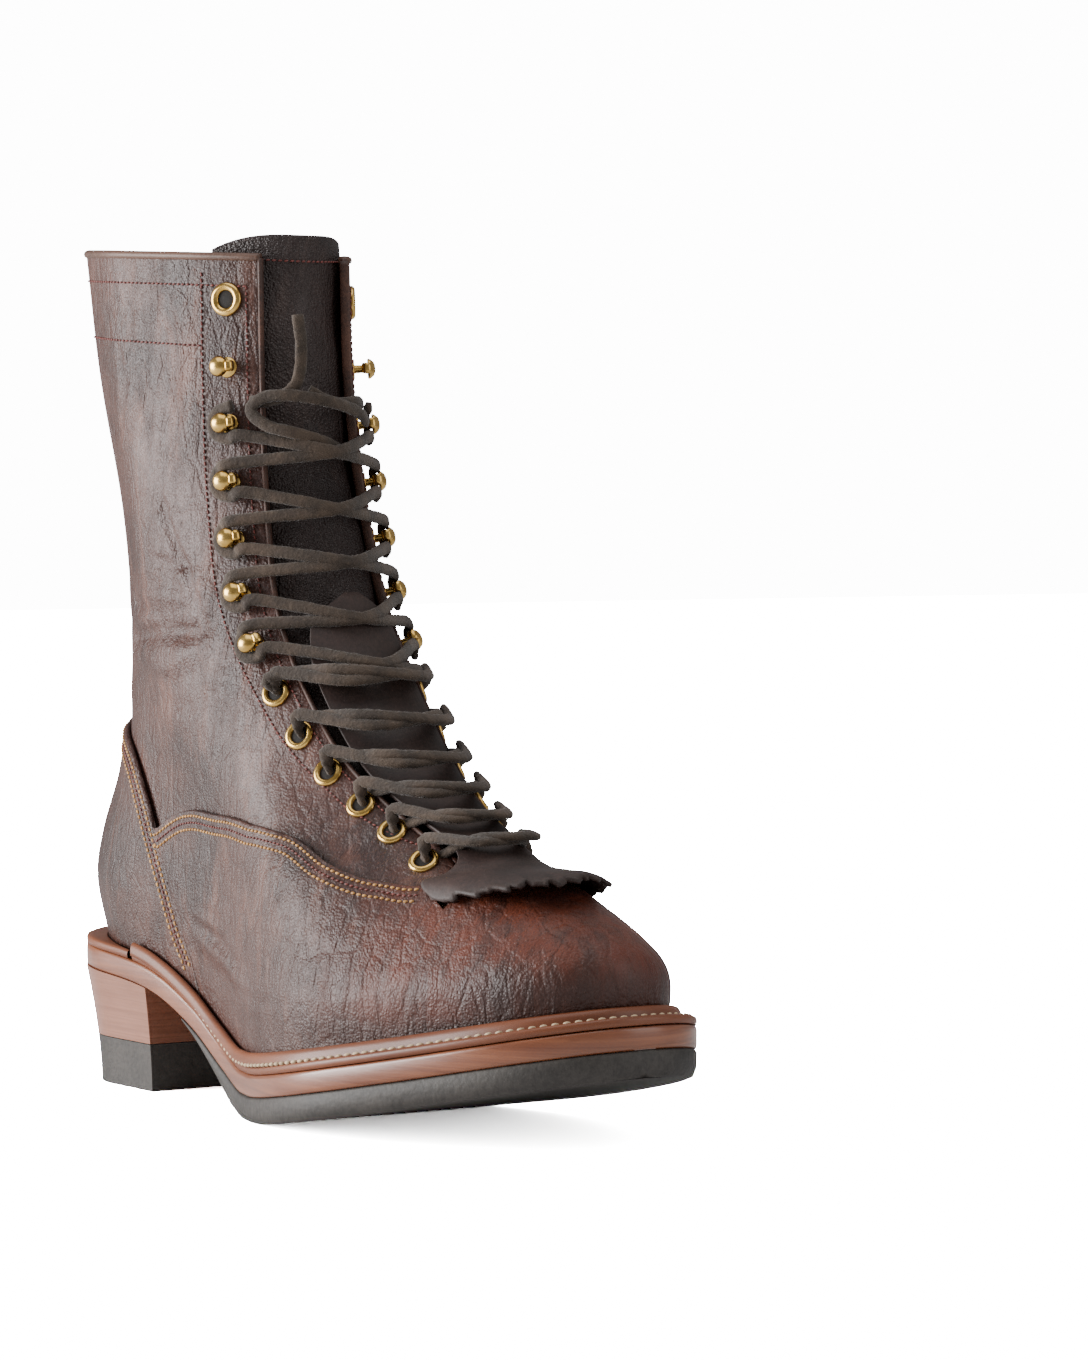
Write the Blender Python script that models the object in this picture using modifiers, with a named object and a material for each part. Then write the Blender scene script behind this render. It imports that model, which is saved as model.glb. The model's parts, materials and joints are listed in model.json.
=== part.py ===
"""Logger boot, right foot: a tall laced leather work boot on a leather midsole,
a rubber half sole and an under-slung stacked heel.

Metres, +Z up. The toe points along +X, the outer side of the foot is -Y, and the
origin is the centre of the heel's flat bottom face, on the floor.
"""

import bisect
import functools
import math

import bmesh
import bpy
import numpy as np
from mathutils import Matrix, Vector

LATERAL, MEDIAL = -1, 1

# Lengths along the foot
SOLE_LENGTH = 0.308
HEEL_SETBACK = 0.0395

# Widths
BALL_WIDTH = 0.113
SEAT_WIDTH = 0.077
ANKLE_WIDTH = 0.076
COLLAR_WIDTH = 0.079

# Heights
COLLAR_HEIGHT = 0.294
SEAT_HEIGHT = 0.0525
TOE_SPRING = 0.0262

# Thicknesses of the layers
UPPER_WALL = 0.0022
OVERLAY_WALL = 0.0015
OVERLAY_STEP = 0.0012
TONGUE_WALL = 0.0018
KILTIE_WALL = 0.0016
WELT_THICK = 0.0030
BEAD_HEIGHT = 0.0045
BEAD_WIDTH = 0.0034
MIDSOLE_THICK = 0.0075
RUBBER_THICK = 0.0090
INSOLE_THICK = 0.0035
LIFT_THICK = 0.0165
FIT_GAP = 0.0003

# Heel
HEEL_BOTTOM_LENGTH = 0.062
HEEL_BOTTOM_WIDTH = 0.071
BREAST_X = 0.0305

# Lacing
EYELET_INSET = 0.0125
TOP_EYELET_DROP = 0.0150
TOP_EYELET_PITCH = 0.0789 * COLLAR_HEIGHT
HOOK_PITCH = 0.0673 * COLLAR_HEIGHT
EYELET_PITCH = 0.0643 * COLLAR_HEIGHT
HOOK_COUNT = 6
EYELET_COUNT = 6
EYELET_RADIUS = 0.0051
EYELET_HOLE = 0.0031
TOP_EYELET_RADIUS = 0.0059
TOP_EYELET_HOLE = 0.0028
EYELET_RISE = 0.0018
EYELET_DEPTH = 0.0014
EYELET_CLEAR = 0.0010
EYELET_SHEET = 0.0004
EYELET_STEPS = 8
HOOK_STEPS = 6
HOOK_CAP_RADIUS = 0.0034
HOOK_CAP_THICK = 0.0016
HOOK_HEIGHT = 0.0070
HOOK_NECK_RADIUS = 0.0014
HOOK_BASE_RADIUS = 0.0034
HOOK_BASE_THICK = 0.0008
LACE_RADIUS = 0.0018
LACE_LEG_END = 0.12
LACE_LIFT = 0.0012
HOOK_LACE_HEIGHT = 0.0044
LACE_WRAP_RADIUS = 0.0037
LACE_WRAP_HEIGHT = 0.0033
HOOK_WRAP = (-1.7, -0.6, 0.6, 1.7)
EYELET_LEG = {
    # share of the way across, height in lace radii; the inner leg lies over the outer one
    LATERAL: ((0.00, 2.70), (0.50, 2.60), (1.00, 2.10)),
    MEDIAL: ((0.00, 2.75), (0.50, 3.25), (1.00, 2.15)),
}
OUTER_END = (
    # level, turn from the front, height over the leather
    (0.848, 0.62, -0.0009),
    (0.852, 0.40, 0.0012),
    (0.870, 0.24, 0.0020),
    (0.905, 0.20, 0.0030),
    (0.940, 0.22, 0.0020),
)
INNER_END = (
    # level, turn from the front, height over the leather
    (0.848, 0.62, -0.0009),
    (0.850, 0.36, 0.0012),
    (0.848, 0.15, 0.0012),
    (0.850, 0.00, 0.0020),
)
TONGUE_RISE = 0.008
TONGUE_START = 0.37
TONGUE_ROWS = 10
TONGUE_COLUMNS = 10
TONGUE_UNDERLAP = 0.011
KILTIE = (
    # level, height of its face in wall thicknesses, half width as a share of the ball width
    (0.355, 3.10, 0.250),
    (0.370, 3.10, 0.235),
    (0.388, 3.10, 0.190),
    (0.405, 3.10, 0.130),
    (0.420, 2.90, 0.095),
    (0.445, 0.80, 0.115),
    (0.480, -0.20, 0.150),
    (0.540, -0.20, 0.165),
    (0.590, -0.20, 0.135),
    (0.615, -0.20, 0.045),
)
TOOTH_COUNT = 8
TOOTH_DEPTH = 0.005

# Mesh density
MERGE = 0.000001
INSOLE_END = 0.16
SIDE_COLUMNS = 16
TOE_COLUMNS = 7
LOW_ROWS = 8
HIGH_ROWS = 10
SOLE_STEPS = 30
TOE_COLUMN_START = math.pi * 0.80

# Height of the seat curve as a share of its rise, along the sole from the back
SHANK_CURVE = (
    # along
    (0.00, 0.12, 0.25, 0.34, 0.42, 0.49, 0.56, 1.00),
    # rise
    (1.00, 0.94, 0.79, 0.50, 0.17, 0.00, 0.00, 0.00),
)
SPRING_START = 0.525
SPRING_POWER = 1.25

# Half widths of the sole as shares of the ball width (heel: of the seat width)
STATIONS = (0.13, 0.40, 0.66, 0.86)
SOLE_HALF = {
    LATERAL: (0.50, 0.365, 0.535, 0.485),
    MEDIAL: (0.50, 0.300, 0.465, 0.470),
}
RUBBER_START = 0.315
RUBBER_FULL = 0.44
RUBBER_EDGE = 0.0008
WELT_END = 0.20
RAND_GAP = 0.0034
BEAD_LEVEL = 0.025
BEAD_SECTION = (
    # outwards, upwards
    (1.00, 0.00),
    (0.95, 0.60),
    (0.55, 1.00),
    (0.12, 0.85),
)
HEEL_TAPER = 1.6
SOLE_HEEL_ROUND = 0.125
SOLE_TOE_ROUND = 0.33
TOE_SQUARENESS = 2.25
TOE_SWING = 0.070

# Rings of the upper from the feather line to the collar. Lengths are shares of the
# sole length, rises are shares of the height from the sole to the collar, half widths
# are shares of the ball width (toe, ball), ankle width (waist, heel).
RINGS = (
    # level, back_x, back_rise, front_x, front_rise, level_blend,
    # heel, waist_lateral, waist_medial, ball_lateral, ball_medial, toe, toe_round
    (0.00, 0.025, 0.000, 0.962, 0.000, 0.00, 0.454, 0.48, 0.360, 0.460, 0.390, 0.375, 0.300),
    (0.10, 0.006, 0.084, 0.966, 0.055, 0.10, 0.480, 0.50, 0.410, 0.468, 0.400, 0.380, 0.290),
    (0.20, 0.018, 0.155, 0.944, 0.095, 0.30, 0.467, 0.51, 0.450, 0.445, 0.385, 0.338, 0.300),
    (0.31, 0.052, 0.246, 0.878, 0.150, 0.60, 0.434, 0.50, 0.480, 0.400, 0.360, 0.282, 0.330),
    (0.42, 0.068, 0.333, 0.745, 0.232, 0.85, 0.408, 0.49, 0.490, 0.345, 0.330, 0.290, 0.400),
    (0.47, 0.071, 0.375, 0.645, 0.315, 0.95, 0.394, 0.49, 0.490, 0.325, 0.320, 0.290, 0.380),
    (0.53, 0.077, 0.425, 0.560, 0.410, 1.00, 0.380, 0.49, 0.490, 0.320, 0.320, 0.297, 0.360),
    (0.62, 0.076, 0.507, 0.475, 0.530, 1.00, 0.362, 0.49, 0.490, 0.318, 0.318, 0.288, 0.350),
    (0.73, 0.068, 0.631, 0.430, 0.655, 1.00, 0.375, 0.50, 0.500, 0.310, 0.310, 0.276, 0.350),
    (0.86, 0.042, 0.818, 0.404, 0.805, 1.00, 0.428, 0.505, 0.505, 0.305, 0.305, 0.270, 0.360),
    (1.00, 0.021, 1.000, 0.398, 0.980, 1.00, 0.456, 0.510, 0.510, 0.300, 0.300, 0.270, 0.380),
)
RING_HEEL_ROUND = 0.20
SWING_END = 0.70
THROAT_LEVEL = 0.42

# Half width of the throat and turn of its edge, along the level
THROAT = (
    # level
    (0.42, 0.45, 0.49, 0.55, 0.62, 0.73, 0.86, 1.00),
    # half gap as a share of the ankle width
    (0.172, 0.222, 0.275, 0.295, 0.290, 0.262, 0.235, 0.229),
)


@functools.lru_cache(maxsize=None)
def curve_slopes(knots, values):
    """Slope at each row of a table, from the rows on both sides."""
    return tuple(float(slope) for slope in np.gradient(values, knots))


def smooth_curve(knots, values, at):
    """Smooth curve through the rows of a table."""
    slopes = curve_slopes(tuple(knots), tuple(values))
    at = min(max(at, knots[0]), knots[-1])
    low = min(bisect.bisect_right(knots, at) - 1, len(knots) - 2)
    span = knots[low + 1] - knots[low]
    t = (at - knots[low]) / span
    return (
        (2 * t**3 - 3 * t**2 + 1) * values[low]
        + (t**3 - 2 * t**2 + t) * span * slopes[low]
        + (3 * t**2 - 2 * t**3) * values[low + 1]
        + (t**3 - t**2) * span * slopes[low + 1]
    )


def even_steps(start, end, count):
    return [start + (end - start) * i / count for i in range(count + 1)]


def rounded_end(distance, length, power=2.0):
    """1 beyond the round end of an outline, falling to 0 at its tip."""
    inside = min(max(1 - distance / length, 0.0), 1.0)
    return (1 - inside**power) ** (1 / power)


def sole_top(x):
    """Height of the top of the welt above the floor at a place along the foot."""
    along = (x + HEEL_SETBACK) / SOLE_LENGTH
    ball_height = WELT_THICK + MIDSOLE_THICK + RUBBER_THICK
    rise = (SEAT_HEIGHT - ball_height) * max(0.0, smooth_curve(*SHANK_CURVE, along))
    spring = min(max((along - SPRING_START) / (1 - SPRING_START), 0.0), 1.1)
    return ball_height + rise + TOE_SPRING * spring**SPRING_POWER


def swing(along):
    """Sideways bend of the foot's middle line towards the inner side at the toe."""
    bend = min(max((along - 0.45) / 0.55, 0.0), 1.05)
    return TOE_SWING * BALL_WIDTH * bend**1.6


def sole_edge(angle, side):
    """Point of the sole's outline in plan; angle 0 is the back and pi the toe tip."""
    share = (1 - math.cos(angle)) / 2
    seat, *rest = SOLE_HALF[side]
    widths = (seat * SEAT_WIDTH, *(value * BALL_WIDTH for value in rest))
    half = smooth_curve((0, *STATIONS, 1), (widths[0], *widths, widths[-1]), share)
    half *= rounded_end(share, SOLE_HEEL_ROUND) * rounded_end(1 - share, SOLE_TOE_ROUND, TOE_SQUARENESS)
    return -HEEL_SETBACK + share * SOLE_LENGTH, swing(share) + side * half


@functools.lru_cache(maxsize=None)
def ring_row(level):
    """One row of the ring table, worked out at any level."""
    levels = tuple(row[0] for row in RINGS)
    columns = [tuple(row[i] for row in RINGS) for i in range(1, len(RINGS[0]))]
    return tuple(smooth_curve(levels, column, level) for column in columns)


def ring_point(level, angle, side):
    """Point of the upper's outer face; angle 0 is the back and pi the front."""
    back, back_rise, front, front_rise, blend, heel, *waists, ball_out, ball_in, toe, toe_round = (
        ring_row(level)
    )
    waist, ball = (waists[0], ball_out) if side == LATERAL else (waists[1], ball_in)
    x_back = -HEEL_SETBACK + back * SOLE_LENGTH
    x_front = -HEEL_SETBACK + front * SOLE_LENGTH
    share = (1 - math.cos(angle)) / 2
    x = x_back + share * (x_front - x_back)
    girth = ANKLE_WIDTH + (COLLAR_WIDTH - ANKLE_WIDTH) * level**2
    halves = (heel * girth, waist * girth, ball * BALL_WIDTH, toe * BALL_WIDTH)
    toe_power = 2 + (TOE_SQUARENESS - 2) * max(0.0, 1 - level / THROAT_LEVEL)
    half = smooth_curve((0, *STATIONS, 1), (halves[0], *halves, halves[-1]), share)
    half *= rounded_end(share, RING_HEEL_ROUND) * rounded_end(1 - share, toe_round, toe_power)
    along = (x + HEEL_SETBACK) / SOLE_LENGTH
    foot_back = sole_top(x_back)
    foot_front = sole_top(x_front)
    z_back = foot_back + back_rise * (COLLAR_HEIGHT - foot_back)
    z_front = foot_front + front_rise * (COLLAR_HEIGHT - foot_front)
    bow = sole_top(x) - (foot_back + (foot_front - foot_back) * share)
    z = z_back + (z_front - z_back) * share + (1 - blend) * bow + 2 * FIT_GAP
    y = swing(along) * max(0.0, 1 - level / SWING_END) + side * half
    return Vector((x, y, z))


@functools.lru_cache(maxsize=None)
def width_angle(level, side, half):
    """Angle in the front half of a ring where it is as wide as the half width given."""
    low, high = math.pi * 0.5, math.pi
    middle_line = ring_point(level, math.pi, side).y
    for _ in range(30):
        middle = (low + high) / 2
        if (ring_point(level, middle, side).y - middle_line) * side > half:
            low = middle
        else:
            high = middle
    return low


def throat_half(level):
    return smooth_curve(*THROAT, level) * ANKLE_WIDTH


@functools.lru_cache(maxsize=None)
def edge_angle(level, side):
    """Angle of the last column: the throat's edge, or its line on down to the toe."""
    if level >= THROAT_LEVEL:
        return width_angle(level, side, throat_half(level))
    below = level / THROAT_LEVEL
    corner = width_angle(THROAT_LEVEL, side, throat_half(THROAT_LEVEL))
    return corner * below + TOE_COLUMN_START * (1 - below)


@functools.lru_cache(maxsize=None)
def surface_normal(level, angle, side):
    """Outward normal of the upper's outer face."""
    step = 0.004
    level = min(max(level, step), 1 - step)
    angle = min(max(angle, step), math.pi - step)
    up = ring_point(level + step, angle, side) - ring_point(level - step, angle, side)
    along = ring_point(level, angle + step, side) - ring_point(level, angle - step, side)
    return (along.cross(up) * -side).normalized()


def offset_point(level, angle, side, out):
    """Point at a distance outside (or inside, if negative) the upper's outer face."""
    return ring_point(level, angle, side) + out * surface_normal(level, angle, side)


def turned_point(level, turn, out):
    """The same, by a turn from the front: below 0 on the outer side, above 0 on the inner."""
    side = LATERAL if turn < 0 else MEDIAL
    return offset_point(level, math.pi - abs(turn), side, out)


def upper_levels():
    low = [THROAT_LEVEL * i / LOW_ROWS for i in range(LOW_ROWS)]
    high = [THROAT_LEVEL + (1 - THROAT_LEVEL) * i / HIGH_ROWS for i in range(HIGH_ROWS + 1)]
    return low, high


# Scene set-up


def clear_scene():
    for item in list(bpy.data.objects):
        bpy.data.objects.remove(item, do_unlink=True)


def new_collection(name):
    group = bpy.data.collections.new(name)
    bpy.context.scene.collection.children.link(group)
    return group


def material(name, colour, roughness, metallic=0.0):
    made = bpy.data.materials.new(name)
    made.use_nodes = True
    shader = made.node_tree.nodes["Principled BSDF"]
    shader.inputs["Base Color"].default_value = (*colour, 1.0)
    shader.inputs["Roughness"].default_value = roughness
    shader.inputs["Metallic"].default_value = metallic
    return made


def add_object(name, mesh_data, group, surface):
    item = bpy.data.objects.new(name, mesh_data)
    group.objects.link(item)
    item.data.materials.append(surface)
    return item


def face_outwards(work):
    """Merge doubled points and turn every face of a closed solid outwards."""
    bmesh.ops.remove_doubles(work, verts=work.verts, dist=MERGE)
    bmesh.ops.recalc_face_normals(work, faces=work.faces)
    if work.calc_volume(signed=True) < 0:
        bmesh.ops.reverse_faces(work, faces=work.faces)


def mesh_from_bmesh(name, work):
    face_outwards(work)
    mesh = bpy.data.meshes.new(name)
    work.to_mesh(mesh)
    work.free()
    return mesh


def finish_smooth(item):
    item.data.shade_smooth()
    item.data.set_sharp_from_angle(angle=math.radians(40))


def clean_mesh(mesh):
    work = bmesh.new()
    work.from_mesh(mesh)
    face_outwards(work)
    work.to_mesh(mesh)
    work.free()
    return mesh


def apply_modifiers(item):
    """Turn an object with modifiers into one with a plain mesh."""
    graph = bpy.context.evaluated_depsgraph_get()
    made = bpy.data.meshes.new_from_object(item.evaluated_get(graph))
    item.modifiers.clear()
    item.data = clean_mesh(made)


def add_solidify(item, thickness, offset):
    wall = item.modifiers.new("Wall", "SOLIDIFY")
    wall.thickness = thickness
    wall.offset = offset
    wall.use_even_offset = True
    wall.use_quality_normals = True


# Upper


def upper_sheet(name, out):
    """The upper's face at a distance from its outer face, open below and at the throat."""
    low, high = upper_levels()
    work = bmesh.new()

    def side_points(level):
        row = [
            offset_point(level, edge_angle(level, MEDIAL) * i / SIDE_COLUMNS, MEDIAL, out)
            for i in range(SIDE_COLUMNS, -1, -1)
        ]
        row += [
            offset_point(level, edge_angle(level, LATERAL) * i / SIDE_COLUMNS, LATERAL, out)
            for i in range(1, SIDE_COLUMNS + 1)
        ]
        return row

    def toe_points(level):
        start = edge_angle(level, LATERAL) - math.pi
        end = math.pi - edge_angle(level, MEDIAL)
        turns = [start + (end - start) * i / TOE_COLUMNS for i in range(1, TOE_COLUMNS)]
        return [turned_point(level, turn, out) for turn in turns]

    rows = []
    for level in low + high:
        points = side_points(level)
        if level <= THROAT_LEVEL:
            points += toe_points(level)
        rows.append([work.verts.new(point) for point in points])
    for below, above in zip(rows[:-1], rows[1:]):
        closed = len(above) > 2 * SIDE_COLUMNS + 1
        count = len(above) if closed else 2 * SIDE_COLUMNS
        for i in range(count):
            j = (i + 1) % len(below)
            work.faces.new((below[i], below[j], above[j], above[i]))
    mesh = bpy.data.meshes.new(name)
    work.to_mesh(mesh)
    work.free()
    return mesh


def make_upper(group, leather):
    item = add_object("upper", upper_sheet("upper", 0.0), group, leather)
    add_solidify(item, UPPER_WALL, -1.0)
    apply_modifiers(item)
    return item


# Overlays

# Top edge of the vamp in side view: place along the sole and height above its top,
# as shares of the sole length and of the collar height
VAMP_EDGE = (
    # along, height
    (0.252, 0.159),
    (0.310, 0.203),
    (0.372, 0.235),
    (0.462, 0.266),
    (0.560, 0.253),
    (0.630, 0.214),
    (0.699, 0.187),
    (0.760, 0.182),
    (0.795, 0.215),
    (0.800, 0.290),
)
COUNTER_EDGE = (
    # along, height
    (0.355, 0.000),
    (0.337, 0.045),
    (0.317, 0.066),
    (0.290, 0.107),
    (0.247, 0.160),
    (0.184, 0.225),
    (0.120, 0.255),
    (0.050, 0.272),
    (-0.050, 0.280),
)
COUNTER_ROWS_BELOW_VAMP = 5


def side_place(along, height):
    x = -HEEL_SETBACK + along * SOLE_LENGTH
    return x, sole_top(x) + height * COLLAR_HEIGHT


def outline_cutter(name, places, group):
    """Flat side-view outline pushed right through the boot."""
    curve = bpy.data.curves.new(name, "CURVE")
    curve.dimensions = "2D"
    curve.fill_mode = "BOTH"
    curve.extrude = BALL_WIDTH
    line = curve.splines.new("POLY")
    line.points.add(len(places) - 1)
    for point, (x, z) in zip(line.points, places):
        point.co = (x, z, 0.0, 1.0)
    line.use_cyclic_u = True
    item = bpy.data.objects.new(name, curve)
    item.rotation_euler = (math.radians(90), 0.0, 0.0)
    bpy.context.scene.collection.objects.link(item)
    bpy.context.view_layer.update()
    graph = bpy.context.evaluated_depsgraph_get()
    mesh = clean_mesh(bpy.data.meshes.new_from_object(item.evaluated_get(graph)))
    solid = bpy.data.objects.new(name, mesh)
    solid.matrix_world = item.matrix_world
    group.objects.link(solid)
    bpy.data.objects.remove(item, do_unlink=True)
    solid.hide_render = True
    solid.display_type = "WIRE"
    return solid


def smooth_places(table, count):
    """Side-view places read from a smooth curve through the rows of a table."""
    alongs, heights = zip(*table)
    steps = [0.0]
    for i in range(1, len(table)):
        steps.append(steps[-1] + math.dist(table[i], table[i - 1]))
    places = []
    for i in range(count):
        at = steps[-1] * i / (count - 1)
        places.append(side_place(smooth_curve(steps, alongs, at), smooth_curve(steps, heights, at)))
    return places


def make_overlay(name, places, out, group, cutters, leather):
    item = add_object(name, upper_sheet(name, out), group, leather)
    add_solidify(item, OVERLAY_WALL, 1.0)
    cutter = outline_cutter(name + "_outline", places, cutters)
    cut = item.modifiers.new("Outline", "BOOLEAN")
    cut.operation = "INTERSECT"
    cut.solver = "EXACT"
    cut.object = cutter
    apply_modifiers(item)
    finish_smooth(item)
    return item


def sole_line(start, end, count):
    """Side-view places just above the top of the sole."""
    return [(x, sole_top(x) + FIT_GAP) for x in even_steps(start, end, count)]


def make_overlays(group, cutters, leather):
    front = SOLE_LENGTH
    shared = smooth_places(COUNTER_EDGE[:COUNTER_ROWS_BELOW_VAMP], 8)[:-1]
    back = [(x + OVERLAY_STEP, z) for x, z in shared]
    vamp = smooth_places(VAMP_EDGE, 24)
    places = [*back[1:], *vamp, (front, vamp[-1][1]), *sole_line(front, back[0][0], 16)]
    make_overlay("vamp", places, 3 * FIT_GAP, group, cutters, leather)
    counter = smooth_places(COUNTER_EDGE, 16)
    behind = counter[-1][0] - OVERLAY_STEP
    places = [*counter[1:], (behind, counter[-1][1]), *sole_line(behind, counter[0][0], 12)]
    make_overlay("counter", places, 3 * FIT_GAP, group, cutters, leather)


# Bottom


def loft(name, sections, cap_start, cap_end):
    """Closed solid through sections that have the same number of points."""
    work = bmesh.new()
    rings = [[work.verts.new(Vector(point)) for point in section] for section in sections]
    for one, two in zip(rings[:-1], rings[1:]):
        for i in range(len(one)):
            j = (i + 1) % len(one)
            work.faces.new((one[i], one[j], two[j], two[i]))
    if cap_start:
        work.faces.new(list(reversed(rings[0])))
    if cap_end:
        work.faces.new(rings[-1])
    return mesh_from_bmesh(name, work)


def plate(name, steps, edge, top, bottom, open_ends):
    """Layer of the bottom: straight across the foot, with its top and underside curved."""
    sections = []
    for angle in steps:
        x_out, y_out = edge(angle, LATERAL)
        x_in, y_in = edge(angle, MEDIAL)
        sections.append((
            (x_out, y_out, top(x_out)),
            (x_in, y_in, top(x_in)),
            (x_in, y_in, bottom(x_in)),
            (x_out, y_out, bottom(x_out)),
        ))
    return loft(name, sections, "start" in open_ends, "end" in open_ends)


def angle_at(share):
    return math.acos(1 - 2 * share)


def midsole_top(x):
    return sole_top(x) - WELT_THICK


def midsole_bottom(x):
    return midsole_top(x) - MIDSOLE_THICK


def rubber_bottom(x):
    """The rubber thins out to a feather edge where it ends under the waist."""
    start = -HEEL_SETBACK + RUBBER_START * SOLE_LENGTH
    full = -HEEL_SETBACK + RUBBER_FULL * SOLE_LENGTH
    share = min(max((x - start) / (full - start), 0.0), 1.0)
    depth = RUBBER_EDGE + (RUBBER_THICK - RUBBER_EDGE) * share
    return midsole_bottom(x) - depth


def make_midsole(group, leather):
    steps = even_steps(0.0, math.pi, SOLE_STEPS)
    mesh = plate("midsole", steps, sole_edge, midsole_top, midsole_bottom, ())
    return add_object("midsole", mesh, group, leather)


def make_outsole(group, rubber):
    steps = even_steps(angle_at(RUBBER_START), math.pi, SOLE_STEPS - 6)

    def top(x):
        return midsole_bottom(x) - FIT_GAP

    mesh = plate("outsole", steps, sole_edge, top, rubber_bottom, ("start",))
    return add_object("outsole", mesh, group, rubber)


def insole_edge(angle, side):
    point = offset_point(0.0, angle, side, -UPPER_WALL - 2 * FIT_GAP)
    return point.x, point.y


def make_insole(group, leather):
    def top(x):
        return sole_top(x) + INSOLE_THICK

    def bottom(x):
        return midsole_top(x) + FIT_GAP

    steps = even_steps(INSOLE_END, math.pi - INSOLE_END, SOLE_STEPS - 10)
    mesh = plate("insole", steps, insole_edge, top, bottom, ("start", "end"))
    return add_object("insole", mesh, group, leather)


def welt_section(angle, side, bead):
    """Section of the welt: a flat strip under the upper's edge, with a raised bead."""
    inner = offset_point(0.0, angle, side, -UPPER_WALL)
    x_out, y_out = sole_edge(angle, side)
    base = midsole_top(inner.x) + FIT_GAP
    section = [
        (inner.x, inner.y, base),
        (x_out, y_out, midsole_top(x_out) + FIT_GAP),
        (x_out, y_out, sole_top(x_out)),
    ]
    clear = OVERLAY_WALL + 5 * FIT_GAP
    foot = offset_point(0.0, angle, side, clear)
    if bead:
        for share, height in BEAD_SECTION:
            point = offset_point(BEAD_LEVEL * height, angle, side, clear + share * BEAD_WIDTH)
            section.append((point.x, point.y, sole_top(foot.x) + height * BEAD_HEIGHT))
    section.append((foot.x, foot.y, sole_top(foot.x)))
    section.append((inner.x, inner.y, sole_top(inner.x)))
    return section


def around_toe(start_share, count):
    """Angle and side of each section from the outer side round the toe to the inner."""
    start = angle_at(start_share)
    steps = even_steps(start, math.pi, count)
    path = [(angle, LATERAL) for angle in steps]
    return path + [(angle, MEDIAL) for angle in reversed(steps[:-1])]


def around_heel(end_share, count):
    steps = even_steps(0.0, angle_at(end_share), count)
    path = [(angle, LATERAL) for angle in reversed(steps)]
    return path + [(angle, MEDIAL) for angle in steps[1:]]


def make_welts(group, leather):
    path = around_toe(WELT_END, 20)
    mesh = loft("welt", [welt_section(*place, True) for place in path], True, True)
    welt = add_object("welt", mesh, group, leather)
    path = around_heel(WELT_END - RAND_GAP / SOLE_LENGTH, 11)
    mesh = loft("heel_rand", [welt_section(*place, False) for place in path], True, True)
    rand = add_object("heel_rand", mesh, group, leather)
    return welt, rand


def heel_section(angle, level):
    """Points of both sides of the heel block at one angle; level 1 is under the seat."""
    seat = angle_at((BREAST_X + HEEL_SETBACK) / SOLE_LENGTH)
    top_angle = seat * angle
    x_out, y_out = sole_edge(top_angle, LATERAL)
    x_in, y_in = sole_edge(top_angle, MEDIAL)
    back = -HEEL_BOTTOM_LENGTH / 2
    x_low = back + (x_out + HEEL_SETBACK) / (BREAST_X + HEEL_SETBACK) * HEEL_BOTTOM_LENGTH
    narrow = HEEL_BOTTOM_WIDTH / SEAT_WIDTH
    mix = level**HEEL_TAPER
    x = x_low + (x_out - x_low) * mix
    slim = narrow + (1 - narrow) * mix
    return (x, y_out * slim), (x, y_in * slim)


def heel_block(name, low, high, surface, group):
    """Slice of the heel between two heights; the seat slopes with the midsole."""
    steps = even_steps(0.0, 1.0, 12)
    sections = []
    for step in steps:
        def at(height):
            return min(1.0, height / (midsole_bottom(0.0)))
        x_top = heel_section(step, 1.0)[0][0]
        top = high(x_top)
        out_top, in_top = heel_section(step, at(top))
        out_low, in_low = heel_section(step, at(low))
        sections.append((
            (*out_top, top), (*in_top, top), (*in_low, low), (*out_low, low),
        ))
    mesh = loft(name, sections, False, True)
    return add_object(name, mesh, group, surface)


def make_heel(group, leather, rubber):
    def seat(x):
        return midsole_bottom(x) - FIT_GAP

    def lift_top(x):
        return LIFT_THICK

    heel = heel_block("heel", LIFT_THICK + FIT_GAP, seat, leather, group)
    lift = heel_block("heel_lift", 0.0, lift_top, rubber, group)
    return heel, lift


# Tongue and kiltie


def sheet_mesh(name, rows):
    """Open sheet through rows of points of equal length."""
    work = bmesh.new()
    grid = [[work.verts.new(point) for point in row] for row in rows]
    for one, two in zip(grid[:-1], grid[1:]):
        for i in range(len(one) - 1):
            work.faces.new((one[i], one[i + 1], two[i + 1], two[i]))
    mesh = bpy.data.meshes.new(name)
    work.to_mesh(mesh)
    work.free()
    return mesh


def across(level, half, count, out):
    """Points across the front of the boot on one ring, between two equal half widths."""
    start = width_angle(level, LATERAL, half) - math.pi
    end = math.pi - width_angle(level, MEDIAL, half)
    turns = [start + (end - start) * i / count for i in range(count + 1)]
    return [turned_point(level, turn, out) for turn in turns]


def make_tongue(group, leather):
    out = -UPPER_WALL - 4 * FIT_GAP
    rows = []
    for i in range(TONGUE_ROWS + 1):
        level = TONGUE_START + (1 - TONGUE_START) * i / TONGUE_ROWS
        half = throat_half(max(level, THROAT_LEVEL)) + TONGUE_UNDERLAP * min(1.0, level / 0.5)
        rows.append(across(level, half, TONGUE_COLUMNS, out))
    last, before = rows[-1], rows[-2]
    top = []
    for i, (point, below) in enumerate(zip(last, before)):
        round_off = 1 - abs(2 * i / TONGUE_COLUMNS - 1) ** 4
        top.append(point + (point - below).normalized() * TONGUE_RISE * (0.25 + 0.75 * round_off))
    rows.append(top)
    item = add_object("tongue", sheet_mesh("tongue", rows), group, leather)
    add_solidify(item, TONGUE_WALL, -1.0)
    apply_modifiers(item)
    finish_smooth(item)
    return item


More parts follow.
